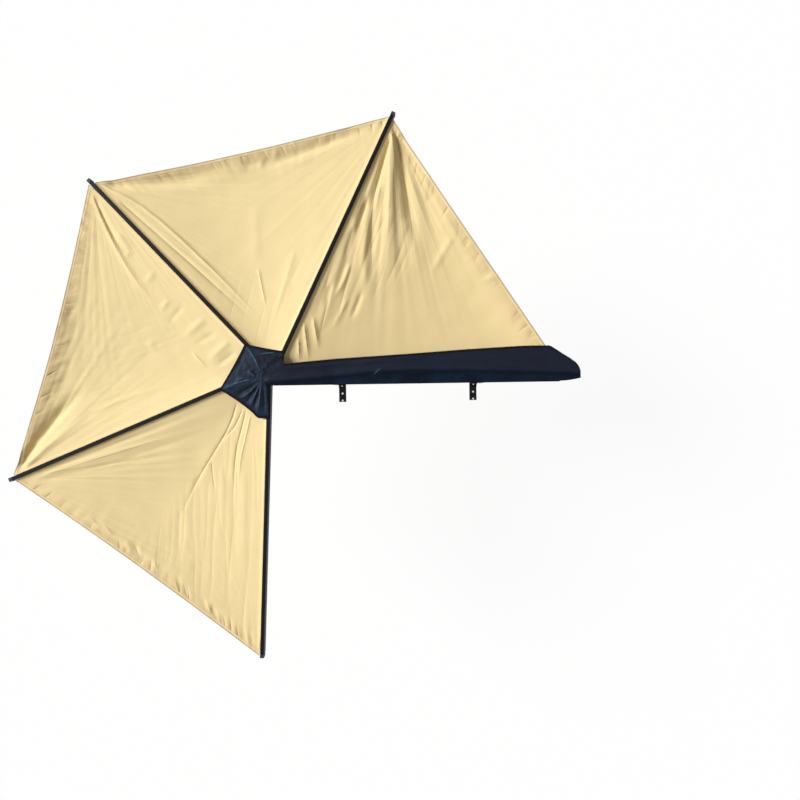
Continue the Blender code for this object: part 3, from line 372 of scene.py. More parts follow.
# Each fold is its width at both ends, its height and its path's points as x and y from the hub
# pin, all in mm. There is one table for each panel.
folds = (
    (
        (17, 60, 14, 925, 1716, 902, 1405, 882, 876, 859, 477),
        (15, 62, -18, 912, 1712, 985, 1446, 1011, 1260, 1053, 988, 1049, 731),
        (30, 130, -16, 960, 1660, 1060, 1400, 1150, 1180, 1210, 960, 1230, 700),
        (17, 20, -6, 742, 1240, 700, 1090, 640, 960), (17, 20, -5, 640, 1010, 585, 860, 560, 740),
        (17, 18, 6, 610, 760, 560, 620, 480, 480), (17, 18, -5, 690, 560, 640, 430, 590, 330),
        (17, 18, -5, 480, 620, 440, 520, 420, 400),
        (14, 43, -12, 908, 1640, 830, 1391, 777, 1192, 756, 992, 760, 550),
        (17, 37, 6, 829, 1306, 727, 964, 692, 736, 744, 435),
        (20, 43, -7, 734, 1193, 652, 965, 556, 738, 472, 368),
        (20, 37, 5, 668, 1080, 579, 852, 445, 511, 369, 198), (26, 31, 4, 1130, 1401, 1199, 1200),
        (23, 20, 4, 1338, 941, 1162, 644), (37, 57, 5, 997, 1075, 1105, 644),
        (20, 20, -4, 1199, 1257, 1155, 1158), (13, 13, 6, 274, 342, 303, 49),
        (13, 17, 6, 336, 384, 375, 127), (11, 11, 5, 234, 243, 236, 50),
        (20, 17, 4, 588, 509, 470, 268), (23, 14, 4, 1518, 610, 1676, 636),
    ),
    (
        (10, 14, 7, -1134, 1317, -827, 1165, -289, 641, -28, 343),
        (13, 18, -6, -1017, 1212, -654, 883, -378, 628, -58, 329),
        (34, 64, -17, -1119, 1330, -692, 1330, -190, 1440),
        (46, 26, -12, -159, 1465, 17, 1453, 432, 1584, 817, 1715), (18, 18, 5, 18, 1521, -35, 1419),
        (18, 18, 4, 425, 1633, 387, 1545), (18, 18, 4, 108, 1578, 62, 1447),
        (21, 18, 3, -365, 1468, -396, 1409), (12, 12, 3, -55, 741, 9, 416),
        (21, 15, 3, 215, 855, 52, 327), (18, 15, -2, 273, 795, 152, 561),
        (38, 29, 2, -60, 1183, -67, 712),
    ),
    (
        (14, 20, 8, -1204, 1266, -1098, 987, -931, 670, -763, 454),
        (14, 18, -9, -1190, 1244, -1069, 968, -985, 843), (17, 17, 5, -1040, 1001, -914, 813),
        (20, 20, 4, -928, 870, -986, 800), (23, 23, 4, -759, 725, -846, 612),
        (20, 20, 5, -662, 523, -749, 425), (20, 20, -4, -562, 479, -707, 324),
        (26, 26, 6, -407, 377, -594, 237), (20, 20, -4, -337, 276, -524, 179),
        (23, 29, 7, -238, 217, -426, 63), (20, 20, -6, -196, 145, -369, 19),
        (13, 13, 4, -539, 150, -412, 13), (20, 20, 3, -852, 241, -782, 125),
        (20, 52, -24, -1756, -676, -1590, -420, -1387, -194, -1242, -82),
        (17, 43, 11, -1715, -681, -1534, -500, -1259, -302),
        (17, 17, 3, -1260, -296, -972, -172, -685, -98), (17, 17, 5, -1495, 179, -1359, 255),
        (20, 20, 5, -1519, 50, -1396, 106), (20, 23, 5, -1557, -92, -1427, -8),
        (20, 20, -4, -1421, 349, -1319, 505), (17, 17, 4, -1316, 733, -1230, 703),
        (17, 20, -5, -1580, -220, -1486, -136),
    ),
    (
        (18, 26, -5, -1729, -743, -1213, -563, -736, -382, -321, -213),
        (18, 24, -4, -1641, -763, -1165, -663, -675, -508, -273, -364),
        (18, 24, -3, -1591, -740, -1342, -735, -915, -640, -614, -540),
        (16, 24, 3, -1591, -720, -1063, -565, -612, -434),
        (9, 12, -3.5, -205, -214, -262, -389, -396, -600, -500, -760, -600, -960, -655, -1120),
        (9, 11, -2.5, -165, -255, -195, -330, -240, -420, -370, -520),
        (9, 12, -3.5, -140, -262, -176, -400, -228, -580, -246, -860, -250, -1010),
        (10, 14, 2.5, -112, -300, -150, -470, -196, -640, -205, -830),
        (12, 14, -1.5, -405, -600, -392, -760, -372, -900),
        (20, 24, -1.8, -640, -960, -650, -1210, -655, -1520),
        (22, 26, 1.5, -590, -900, -580, -1150, -600, -1420),
        (20, 22, -1.5, -500, -800, -476, -1000, -505, -1290),
        (22, 26, 2, -322, -660, -330, -1000, -350, -1400),
        (22, 26, -2, -262, -760, -240, -1100, -250, -1500),
        (24, 26, 2, -170, -700, -160, -1100, -170, -1540), (16, 16, 4, -1171, -1060, -1080, -1150),
        (18, 16, 6, -1010, -1160, -960, -1280), (16, 16, -6, -949, -1200, -905, -1310),
        (16, 14, 5, -813, -1310, -780, -1400), (16, 14, 6, -665, -1450, -630, -1560),
        (16, 14, -6, -600, -1490, -570, -1610), (16, 14, 6, -442, -1600, -402, -1720),
        (14, 14, -5, -405, -1640, -375, -1750), (16, 14, 4, -1270, -1000, -1200, -1065),
    ),
)


def smooth(share):
    """0 to 1, level at both ends."""
    share = np.clip(share, 0.0, 1.0)
    return share * share * (3.0 - 2.0 * share)


def unit(vectors):
    return vectors / np.maximum(np.linalg.norm(vectors, axis=-1, keepdims=True), 1e-9)


def ripple(x, y, seed):
    """Noise from about -1 to 1 at pairs of coordinates."""
    return np.array([noise((a, b, seed)) for a, b in zip(x, y)])


def rounded(path):
    """A path with its corners cut twice, in metres."""
    path = np.reshape(path, (-1, 2)) / 1000.0
    for _ in range(2 if len(path) > 2 else 0):
        quarters = path[:-1] * 0.75 + path[1:] * 0.25, path[:-1] * 0.25 + path[1:] * 0.75
        path = np.vstack([path[:1], np.stack(quarters, axis=1).reshape(-1, 2), path[-1:]])
    return path


def along_path(plan, path):
    """Each point's distance to the left of a path, its way along it, a fade, and the path's length.

    The fade rises over the path's first 70 mm and falls over its last 45%.
    """
    path = rounded(path)
    lengths = np.linalg.norm(np.diff(path, axis=0), axis=1)
    begun = np.concatenate([[0.0], np.cumsum(lengths)])
    nearest = np.full(len(plan), 1e9)
    along = np.zeros(len(plan))
    for i, length in enumerate(lengths):
        way = (path[i + 1] - path[i]) / length
        t = np.clip((plan - path[i]) @ way, 0.0, length)
        apart = np.linalg.norm(plan - path[i] - t[:, None] * way, axis=1)
        closer = apart < np.abs(nearest)
        left = np.sign(way[0] * (plan[:, 1] - path[i][1]) - way[1] * (plan[:, 0] - path[i][0]))
        nearest[closer] = (apart * left)[closer]
        along[closer] = begun[i] + t[closer]
    fade = smooth(along / 0.07) * smooth((1.0 - along / begun[-1]) / 0.45)
    return nearest, along, fade, begun[-1]


def fold_height(plan, start_width, end_width, height, *path):
    """How far one fold lifts the cloth at each point of the plan."""
    nearest, along, fade, length = along_path(plan, path)
    width = (start_width + (end_width - start_width) * along / length) / 1000.0
    return height / 1000.0 * fade * np.exp(-((nearest / width) ** 2))


def heading(degrees):
    """A unit step in some direction, and the step to its left."""
    way = np.array((math.cos(math.radians(degrees)), math.sin(math.radians(degrees))))
    return way, np.array((-way[1], way[0]))


def beside_arm(number, along, across):
    """A point beside an open arm, from the hub pin."""
    way, left = heading(arm_angles[number - 1])
    return way * along + left * across


def bead_line(number, side):
    """The start, end and inward way of a panel's straight edge. Edge 0 is the rail's."""
    if number == 0:
        ends = (panel_start, groove_y), (rail_panel_end, groove_y), (0.0, 1.0)
        return [np.array(end) for end in ends]
    across = arm_offsets[number - 1] + side * (arm_half_width - groove_inset)
    tip = arm_reaches[number - 1] - tip_margin
    ends = (panel_start, across), (tip, across), (0.0, side)
    return [beside_arm(number, *end) for end in ends]


def from_tips(plan, index):
    """For the tips at both of a panel's edges: the tip, and each point's distance and direction."""
    for number, side in ((index, 1), (index + 1, -1)):
        tip = bead_line(number, side)[1]
        x, y = (plan - tip).T
        yield tip, np.hypot(x, y), np.arctan2(y, x)


def small_wrinkles(plan, index, u, v):
    """Fine lines that fan out of both tips, puckers behind the hem, and a slight crumple."""
    lift = crumple * ripple(*(plan * 7.0).T, 20.0 + index)
    first, second = from_tips(plan, index)
    for (_, reach, turn), strength in zip((first, second), tip_lines[index]):
        lines = ripple(turn * 26.0, reach * 1.1, 7.0 * index)
        lift += strength * lines * smooth(reach / 0.35) * smooth((1.9 - reach) / 1.2)
    to_hem = (1.0 - v) * panel_depth
    run = u * np.linalg.norm(second[0] - first[0])
    puckers = ripple(run * 21.0 + to_hem * 3.0, to_hem * 3.5, 3.0 + index)
    puckers *= 0.55 + ripple(run * 2.2, 0.0 * u, 11.0 + index)
    return lift + pucker_heights[index] * puckers * np.exp(-to_hem / 0.13) * smooth(to_hem / 0.03)


def crown_of(u, peak, straight):
    """The sag's shape across a panel, 1 where it is deepest: a bow, or in part straight slopes."""
    slope = np.where(u < peak, u / peak, (1.0 - u) / (1.0 - peak))
    eased = slope - 0.5 * np.maximum(slope - 0.8, 0.0) ** 2 / 0.2
    return straight * eased + (1.0 - straight) * np.sin(math.pi / 2 * slope) ** 1.1


def panel_points(index, u, v):
    """Points of a stretched panel. u runs from edge to edge and v from the hub to the hem."""
    near, far = (start + (end - start) * v[:, None] + inward * stem
                 for start, end, inward in (bead_line(index, 1), bead_line(index + 1, -1)))
    plan = near + (far - near) * u[:, None]
    inset = np.minimum(u, 1.0 - u) * np.linalg.norm(far - near, axis=1)
    crown = 4.0 * u * (1.0 - u)

    # The hem and the hub end reach past the beads' ends, and the hem curves in between them.
    first, second = hem_reaches[index]
    reach = (first * (1.0 - u) + second * u) * smooth(inset / 0.008) * v ** 6
    reach -= crown * (hem_curves[index] * v ** 3 + hub_reaches[index] * (1.0 - v) ** 8)
    if index == 0:
        reach += corner_reach * smooth(u / 0.06) * (1.0 - u) ** 1.6 * v ** 4
    plan = plan + unit(plan) * reach[:, None]

    # The cloth sinks between its beads, least at the hub and at the hem, which is pulled level.
    level = 1.0 - 0.9 * np.exp(-(((1.0 - v) / hem_rises[index]) ** 2))
    sink = crown_of(u, *sag_shapes[index]) * (0.25 + 0.75 * np.sin(0.85 * math.pi * v)) * level
    dip = stem_dip * (1.0 - np.exp(-((inset / stem_dip_width) ** 2)))
    lift = sum(fold_height(plan, *fold) for fold in folds[index])
    lift = fold_gains[index] * lift + small_wrinkles(plan, index, u, v)
    height = groove_z - sags[index] * sink - dip + lift * smooth(inset / free_inset)
    eased = cloth_ceiling + 0.3 * (height - cloth_ceiling)
    return np.column_stack([plan, np.minimum(height, eased)])


def crease_marks(plan, some_folds, narrow):
    """The signed distance to the nearest sharp fold, and how strongly it is creased there."""
    across = np.full(len(plan), crease_reach)
    force = np.zeros(len(plan))
    for start_width, _, height, *path in some_folds:
        if start_width <= narrow:
            nearest, _, fade, _ = along_path(plan, path)
            closer = np.abs(nearest) < np.abs(across)
            across[closer] = nearest[closer]
            sharp = fade * smooth((crease_reach - np.abs(nearest)) / crease_fade)
            force[closer] = math.copysign(1.0, height) * sharp[closer]
    return {"crease_across": across, "crease_force": force}


def pull_marks(plan, index, u, v):
    """Where each point lies for the puckers behind the hem and the lines from both arms' tips."""
    # Two marks carry painted shade: one over the whole panel and one along its hem.
    marks = {"to_hem": (1.0 - v) * panel_depth, "painted_panel_shade": np.full(len(plan), painted_panel_shades[index])}
    shade = painted_hem_shades[index] * np.exp(-(((1.0 - v) / 0.035) ** 2))
    marks["painted_hem_shade"] = shade * smooth(u / 0.1) * smooth((1.0 - u) / 0.1)
    angle, low, high, near, far, pull = drawn_folds[index]
    way, left = heading(angle)
    marks["drawn_across"], marks["drawn_along"] = plan @ left + 7.0 * index, plan @ way
    marks["drawn_pull"] = (pull * smooth((u - low) / 0.12) * smooth((high - u) / 0.08)
                           * smooth((v - near) / 0.15) * smooth((far - v) / 0.2))
    first, second = from_tips(plan, index)
    marks["hem_run"] = u * np.linalg.norm(second[0] - first[0]) + 3.0 * index
    for end, (tip, reach, turn), spread in zip(tip_names, (first, second), tip_lines[index]):
        turn = turn - math.atan2(-tip[1], -tip[0])
        marks[f"{end}_turn"] = (turn + math.pi) % (2.0 * math.pi) - math.pi + 5.0 * index
        marks[f"{end}_reach"] = reach
        marks[f"{end}_pull"] = spread / 0.0045 * smooth(reach / 0.35) * smooth((1.7 - reach) / 1.3)
    return marks


def new_object(name, points, faces, finish, uv=None, marks=None):
    """A closed mesh object at the origin, from points round the hub pin."""
    mesh = bpy.data.meshes.new(name)
    mesh.from_pydata([Vector(p) + hub for p in points], [], faces)
    if uv is not None:
        layer = mesh.uv_layers.new(name="cut")
        corners = np.zeros(len(mesh.loops), int)
        mesh.loops.foreach_get("vertex_index", corners)
        layer.data.foreach_set("uv", np.asarray(uv, np.float32)[corners].ravel())
    for mark, values in (marks or {}).items():
        data = mesh.attributes.new(mark, "FLOAT", "POINT").data
        data.foreach_set("value", np.asarray(values, np.float32))
    mesh.materials.append(finish.material)
    body = bmesh.new()
    body.from_mesh(mesh)
    bmesh.ops.recalc_face_normals(body, faces=body.faces)
    body.to_mesh(mesh)
    body.free()
    mesh.shade_smooth()
    mesh.set_sharp_from_angle(angle=sharp_edge)
    made = bpy.data.objects.new(name, mesh)
    bpy.context.scene.collection.objects.link(made)
    return made


def sheet_body(table, thickness):
    """Points and faces of a sheet of cloth round a table of points."""
    normal = unit(np.cross(np.gradient(table, axis=1), np.gradient(table, axis=0)))
    if normal[..., 2].mean() <= -0.1:
        normal = -normal
    normal = normal * thickness / 2
    points = np.vstack([(table + normal).reshape(-1, 3), (table - normal).reshape(-1, 3)])
    count = len(points) // 2
    grid = np.arange(count).reshape(table.shape[:2])
    cells = np.stack([grid[:-1, :-1], grid[:-1, 1:], grid[1:, 1:], grid[1:, :-1]], axis=-1)
    cells = cells.reshape(-1, 4)
    edge = np.concatenate([grid[0], grid[1:, -1], grid[-1, -2::-1], grid[-2:0:-1, 0]])
    after = np.roll(edge, -1)
    sides = np.column_stack([edge, after, after + count, edge + count])
    return points, np.vstack([cells, cells + count, sides]).tolist()


def tube_body(sections):
    """Points and faces of a closed body swept through equal rings of points."""
    sections = np.asarray(sections)
    grid = np.arange(sections[..., 0].size).reshape(sections.shape[:2])
    turned = np.roll(grid, -1, axis=1)
    sides = np.stack([grid[:-1], turned[:-1], turned[1:], grid[1:]], axis=-1).reshape(-1, 4)
    return sections.reshape(-1, 3), [grid[0].tolist(), grid[-1].tolist(), *sides.tolist()]


def joined(parts):
    """One list of points and one of faces from several bodies'."""
    points, faces, count = [], [], 0
    for some_points, some_faces in parts:
        points.append(some_points)
        faces += [[i + count for i in face] for face in some_faces]
        count += len(some_points)
    return np.vstack(points), faces


def circle(radius, steps):
    """Points round a circle."""
    turns = np.linspace(0.0, 2.0 * math.pi, steps + 1)[:-1]
    return np.column_stack([np.cos(turns), np.sin(turns)]) * radius


def strip_cut(run, count, pitch):
    """The cut of a swept strip: its run along the edge, and its ring's points a pitch apart."""
    return np.column_stack([np.repeat(run, count), np.tile(np.arange(count) * pitch, len(run))])


def edge_strip(name, finish, rim, inner, upright, inside, thickness, pitch):
    """A folded strip round a sheet's edge, with its outward and upright ways and its run.

    rim and inner are points on the edge and behind it. inside is half the sheet's own thickness.
    """
    out = unit(rim - inner)
    normal = unit(np.cross(np.gradient(rim, axis=0), out))
    normal *= np.sign(normal @ np.array(upright))[:, None]
    run = np.concatenate([[0.0], np.cumsum(np.linalg.norm(np.diff(rim, axis=0), axis=1))])
    middle = (rim + inner) / 2
    near, far, nose = normal * inside, normal * (inside + thickness), out * thickness
    ring = (
        inner + near, inner + far, middle + far, rim + far, rim + nose + near, rim + nose - near,
        rim - far, middle - far, inner - far,
        inner - near, middle - near, rim - near, rim + near, middle + near,
    )
    body = tube_body(np.stack(ring, axis=1))
    return new_object(name, *body, finish, strip_cut(run, len(ring), pitch)), out, normal, run


def fan(obj, low, high):
    """Bakes a piece's transform and works out each point's angle about the pin, which is not kept.

    low and high give, for each radius, the angles in degrees of the flanks of the first and the second
    body beside it.
    """
    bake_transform(obj)
    points = np.array([v.co - hub for v in obj.data.vertices])[:, :2]
    radius = np.maximum(np.linalg.norm(points, axis=1), 0.004)
    low, high = low(radius), high(radius)
    middle = (low + high) / 2
    turn = np.degrees(np.arctan2(points[:, 1], points[:, 0]))
    turn = middle + (turn - middle + 180.0) % 360.0 - 180.0


def arm_edge(number, side):
    """The angle of an arm's flank, or of the rail's for 0, at each radius."""
    if number == 0:
        return lambda radius: -np.degrees(np.arcsin(np.minimum(-groove_y / radius, 0.99)))
    angle, across = arm_angles[number - 1], arm_offsets[number - 1] + side * arm_half_width
    return lambda radius: angle + np.degrees(np.arcsin(np.clip(across / radius, -0.99, 0.99)))


def ribs(place, pitch):
    """A wave of that pitch, from -1 to 1."""
    return (place * (2.0 * math.pi / pitch)).to("SINE")


def creases(across, along, pitch, length, sharpness):
    """Thin lines along a direction, 1 on each line. They are about a pitch apart."""
    inputs = {"X": across / pitch, "Y": along / length, "Z": 0.0}
    level = canvas.grain(1.0, 1.0, 0.5, canvas.node("CombineXYZ", "Vector", {}, inputs))
    return (1.0 - (2.0 * level - 1.0).to("ABSOLUTE")) ** sharpness


cloth_gloss = {"Specular_IOR_Level": 0.25, "Sheen_Weight": 0.12, "Sheen_Roughness": 0.5}
canvas = Finish("tan_ripstop_canvas", **cloth_gloss)
cut, *threads = canvas.cut()
weave = ribs(threads[0], 0.0011) * ribs(threads[1], 0.0011)
squares = [canvas.step(ribs(axis, 0.0075), 0.93, 0.99) for axis in threads]
ripstop = squares[0].maths("MAXIMUM", *squares)
slubs = canvas.grain(420.0, 2.0, 0.6, canvas.stretched(cut, (1.0, 0.12, 1.0)))
faded = canvas.grain(1.7, 3.0, 0.55)
tip_marks = [f"{end}_{kind}" for end in tip_names for kind in ("turn", "reach", "pull")]
mark = {name: canvas.read(name) for name in (
    "crease_across", "crease_force", "hem_run", "to_hem", "painted_panel_shade", "painted_hem_shade", "drawn_across",
    "drawn_along", "drawn_pull", *tip_marks)}
# Painted shade in patches along the hem, as strong as each panel's mark for it.
painted_hem_shade_mask = mark["painted_hem_shade"] * canvas.step(canvas.grain(5.0, 3.0, 0.6), 0.2, 0.6)
# Patches within 110 mm of the hem are darker.
hem_patches = canvas.step(canvas.grain(2.6, 3.0, 0.6), 0.35, 0.60)
hem_patches = (1.0 - canvas.step(mark["to_hem"], 0.0, 0.11)) * hem_patches
# Of these layers, the panel-wide darker tan and the darker tan along the hem are painted shade.
canvas.coloured(
    (236, 215, 163), (faded, (247, 226, 171)), (slubs * 0.35, (218, 194, 142)),
    (ripstop * 0.22, (206, 182, 132)), (mark["painted_panel_shade"], (206, 181, 131)), (painted_hem_shade_mask, (206, 178, 134)),
    (hem_patches * 0.4, (208, 182, 136)))
canvas.give("Roughness", 0.80 + 0.10 * slubs)
crease_shape = (mark["crease_across"] * mark["crease_across"] * -45000.0).to("EXPONENT")
near_hem = 1.0 - canvas.step(mark["to_hem"], 0.03, 0.13)
near_hem = near_hem * canvas.step(mark["to_hem"], 0.002, 0.02)
busy = canvas.step(creases(mark["hem_run"], mark["to_hem"], 0.42, 3.0, 1.0), 0.72, 0.92)
puckered = creases(mark["hem_run"] + 0.4 * mark["to_hem"], mark["to_hem"], 0.13, 0.5, 9.0)
pulled = [creases(mark[f"{end}_turn"], mark[f"{end}_reach"], 0.10, 1.3, 8.0) * mark[f"{end}_pull"]
          for end in tip_names]
drawn = creases(mark["drawn_across"], mark["drawn_along"], 0.10, 1.1, 6.0) * mark["drawn_pull"]
canvas.relief((crease_shape * mark["crease_force"], 0.0022), (puckered * near_hem * busy, -0.0060),
              (pulled[0], -0.0016), (pulled[1], -0.0016), (drawn, -0.0045), (weave, 0.00006),
              (ripstop, 0.00012))

hem_canvas = Finish("tan_hem_canvas", **cloth_gloss)
_, hem_run, hem_across = hem_canvas.cut()
nose = hem_canvas.step(hem_across, 0.022, 0.034) * (1.0 - hem_canvas.step(hem_across, 0.074, 0.086))
hem_canvas.coloured(
    (226, 204, 154), (hem_canvas.grain(3.0), (240, 219, 168)), (nose, (176, 152, 120)))
hem_canvas.give("Roughness", 0.80 + 0.10 * hem_canvas.grain(300.0))
hem_canvas.relief((ribs(hem_run, 0.0011) * ribs(hem_across, 0.0011), 0.00006))

thread = Finish("tan_thread", Specular_IOR_Level=0.4)
thread.coloured((196, 172, 122), (thread.grain(900.0), (226, 206, 158)))
thread.give("Roughness", 0.55 + 0.2 * thread.grain(300.0))


def repeat_along(name, lines, pitch, upright, shape, finish):
    """Sets copies of a shape along lines of points. Its z runs along the line, its x upright."""
    points, edges = [], []
    for line in lines:
        edges += [(len(points) + i, len(points) + i + 1) for i in range(len(line) - 1)]
        points += [Vector(p) + hub for p in line]
    mesh = bpy.data.meshes.new(name)
    mesh.from_pydata(points, edges, [])
    made = bpy.data.objects.new(name, mesh)
    bpy.context.scene.collection.objects.link(made)
    group = bpy.data.node_groups.new(name, "GeometryNodeTree")
    face = group.interface
    face.new_socket("Geometry", in_out="INPUT", socket_type="NodeSocketGeometry")
    given = {}
    inputs = ("Pitch", "Float", pitch), ("Unevenness", "Float", 0.1), ("Seed", "Int", 7)
    for label, kind, value in inputs:
        socket = face.new_socket(label, in_out="INPUT", socket_type=f"NodeSocket{kind}")
        given[socket.identifier] = value
    face.new_socket("Geometry", in_out="OUTPUT", socket_type="NodeSocketGeometry")

    def node(kind, inputs=None, **settings):
        added = group.nodes.new(kind)
        for key, value in settings.items():
            setattr(added, key, value)
        for slot, value in (inputs or {}).items():
            added.inputs[slot].default_value = value
        return added

    start, result = node("NodeGroupInput"), node("NodeGroupOutput")
    curve, tangent = node("GeometryNodeMeshToCurve"), node("GeometryNodeInputTangent")
    even = node("GeometryNodeResampleCurve", mode="LENGTH")
    along = node("FunctionNodeAlignRotationToVector", axis="Z")
    up = node("FunctionNodeAlignRotationToVector", {"Vector": upright}, axis="X", pivot_axis="Z")
    least = node("ShaderNodeMath", {0: 1.0}, operation="SUBTRACT")
    uneven = node("FunctionNodeRandomValue", {3: 1.0}, data_type="FLOAT")
    source = node("GeometryNodeObjectInfo", {"Object": shape})
    copies, real = node("GeometryNodeInstanceOnPoints"), node("GeometryNodeRealizeInstances")
    colour = node("GeometryNodeSetMaterial", {"Material": finish.material})
    for giver, output, taker, slot in (
        (start, "Geometry", curve, "Mesh"), (curve, "Curve", even, "Curve"),
        (start, "Pitch", even, "Length"), (start, "Unevenness", least, 1),
        (start, "Seed", uneven, "Seed"), (least, 0, uneven, 2), (tangent, "Tangent", along, "Vector"),
        (along, "Rotation", up, "Rotation"), (even, "Curve", copies, "Points"),
        (source, "Geometry", copies, "Instance"), (up, "Rotation", copies, "Rotation"),
        (uneven, 1, copies, "Scale"), (copies, "Instances", real, "Geometry"),
        (real, "Geometry", colour, "Geometry"), (colour, "Geometry", result, "Geometry"),
    ):
        group.links.new(giver.outputs[output], taker.inputs[slot])
    modifier = made.modifiers.new("repeat", "NODES")
    modifier.node_group = group
    for identifier, value in given.items():
        modifier[identifier] = value
    depsgraph = bpy.context.evaluated_depsgraph_get()
    final = bpy.data.meshes.new_from_object(made.evaluated_get(depsgraph), depsgraph=depsgraph)
    made.modifiers.clear()
    made.data = final
    return made


def small_shape(name, size, taper):
    """An eight-sided bar along z for repeating, narrower at both ends."""
    x, y, z = (length / 4 for length in size)
    corners = ((2, 1), (1, 2), (-1, 2), (-2, 1), (-2, -1), (-1, -2), (1, -2), (2, -1))
    rings = [[(x * s * c, y * s * d, z * h) for c, d in corners]
             for h, s in ((-2, taper), (-1.1, 1.0), (1.1, 1.0), (2, taper))]
    points, faces = tube_body(rings)
    mesh = bpy.data.meshes.new(name)
    mesh.from_pydata(points.tolist(), [], faces)
    return bpy.data.objects.new(name, mesh)


# The cells are narrowest at the beads, where the cloth leaves its grooves, and at the hem.
even_u = np.linspace(0.08, 0.92, columns - 2 * len(edge_shares) + 1)
close_u = 0.5 * even_u + 0.25 * (1.0 - np.cos(math.pi * even_u))
close_u = 0.5 + (close_u - 0.5) * 0.48 / (0.5 - close_u[0])
us = np.concatenate([edge_shares, close_u, 1.0 - edge_shares[::-1]])
vs = np.linspace(0.0, 1.0, rows + 1) ** 0.85
bead_u, bead_v = np.tile([0.0, *us, 1.0], 2 * len(vs)), np.tile(np.repeat(vs, len(us) + 2), 2)
hem_width, hem_inside, hem_cloth, hem_pitch = 0.024, 0.0008, 0.0007, 0.012
stitch_pitch = 0.0062
hem_stitches = (0.12, 0.88)
seam_stitches = (0.0050, 0.0075, 0.9950, 0.9925)
stitch = small_shape("stitch", (0.0043, 0.0009, 0.0034), 0.75)
for index, letter in enumerate("abcd"):
    table = panel_points(index, np.tile(us, len(vs)), np.repeat(vs, len(us)))
    table = table.reshape(len(vs), len(us), 3)
    beads = []
    for number, side in ((index, 1), (index + 1, -1)):
        start, end, _ = bead_line(number, side)
        plan = start + (end - start) * vs[:, None]
        beads.append(np.column_stack([plan, np.full(len(vs), groove_z)]))
    whole = np.concatenate([beads[0][:, None], table, beads[1][:, None]], axis=1)
    points, faces = sheet_body(whole, cloth)
    plan = points[:, :2]
    way, left = heading(((0.0, *arm_angles)[index] + arm_angles[index]) / 2)
    marks = crease_marks(plan, folds[index], 16) | pull_marks(plan, index, bead_u, bead_v)
    panel = new_object(
        f"canvas_panel_{letter}", points, faces, canvas, plan @ np.array((left, way)).T, marks)

    rim = table[-1]
    inner = panel_points(index, us, np.full(len(us), 1.0 - hem_width / panel_depth))
    hem, *_ = edge_strip(
        f"canvas_hem_{letter}", hem_canvas, rim, inner, sky, hem_inside, hem_cloth, hem_pitch)
    bead_tubes = []
    for line in beads:
        line = line[[0, -1]]
        side_way = np.cross(unit(line[1] - line[0]), sky)
        ring = [line + x * side_way + y * np.array(sky) for x, y in circle(bead_radius, 12)]
        bead_tubes.append(tube_body(np.stack(ring, axis=1)))
    bead = new_object(f"canvas_beads_{letter}", *joined(bead_tubes), moulded)

    stitch_lines = [rim + (inner - rim) * share for share in hem_stitches]
    for share in seam_stitches:
        stitch_lines.append(panel_points(index, np.full(60, share), np.linspace(0.01, 0.985, 60)))
    stitches = repeat_along(
        f"canvas_stitches_{letter}", stitch_lines, stitch_pitch, sky, stitch, thread)
    for piece in (panel, hem, bead, stitches):
        fan(piece, arm_edge(index, 1), arm_edge(index + 1, -1))
        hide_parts(f"canopy_panel_{letter}")
    flat = (panel_flat_length, float(np.linalg.norm(rim[-1] - rim[0])))


# The travel cover lies open: its upper half over the first panel, its lower half hanging from
# the rail. Both are coated navy cloth with a bound edge, a bead in the rail and one row of the
# zip. The upper half is still creased from the bag's folds.
def navy_finish(name, dark, light, gloss):
    """Coated navy cloth with a fine weave, felled seams and their stitching, and painted light and shade
    on its creases and folds.
    """
    navy = Finish(name, Specular_IOR_Level=gloss, Specular_Tint=(0.72, 0.86, 1.0, 1.0))
    _, warp, weft = navy.cut()
    seam_across = navy.read("seam_across")
    felled = 1.0 - navy.step(seam_across, 0.0052, 0.0068)
    off_row = (seam_across - 0.0040).to("ABSOLUTE")
    dash = (navy.read("seam_along") / 0.0052).to("FRACT")
    sewn = (1.0 - navy.step(off_row, 0.0003, 0.0007)) * (1.0 - navy.step(dash, 0.62, 0.72))
    fold_across = navy.read("crease_across")
    # Ridges of the creases get a painted highlight and their valleys painted shade, by the sign of each
    # crease.
    crease_light_and_shade = (fold_across * fold_across * -32000.0).to("EXPONENT") * navy.read("crease_force")
    patchy = navy.step(navy.grain(45.0, 4.0, 0.6), 0.15, 0.60)
    # Beyond the upper flap's long fold, towards its free edge, the cloth is painted lighter, and a band
    # just on the rail's side of the fold is painted shade.
    across = navy.read("bend_across")
    under = (across + 0.012) / 0.013
    navy.coloured(
        dark, (navy.step(navy.grain(9.0, 5.0, 0.6), 0.30, 0.72), light),
        (navy.step(across, -0.002, 0.014) * 0.75, (34, 35, 47)),
        ((under * under * -1.0).to("EXPONENT") * 0.8, (4, 8, 18)),
        (navy.step(crease_light_and_shade * patchy, 0.05, 1.0), (60, 80, 102)),
        (navy.step(crease_light_and_shade, -0.05, -1.0) * 0.8, (2, 6, 14)),
        (sewn * 0.6, (84, 92, 104)))
    navy.give("Roughness", 0.42 + 0.18 * navy.grain(30.0, 3.0))
    navy.relief((felled, 0.0007), (sewn, 0.0003), (ribs(warp, 0.0014) * ribs(weft, 0.0014), 0.00005))
    return navy


# The hub cover is the same cloth as the flaps. Its copy's bluer light tone is a painted reflection of
# the sky it faces.
flap_navy = navy_finish("navy_coated_cloth", (8, 17, 29), (19, 33, 48), 0.11)
cover_navy = navy_finish("navy_hub_cloth", (3, 10, 24), (19, 33, 54), 0.20)

tape = Finish("black_woven_tape", Specular_IOR_Level=0.12, Sheen_Weight=0.05)
_, _, tape_across = tape.cut()
tape.coloured((5, 9, 15), (tape.grain(200.0), (14, 19, 27)))
tape.give("Roughness", 0.70 + 0.15 * tape.grain(60.0))
tape.relief((ribs(tape_across, 0.0016), 0.00012))

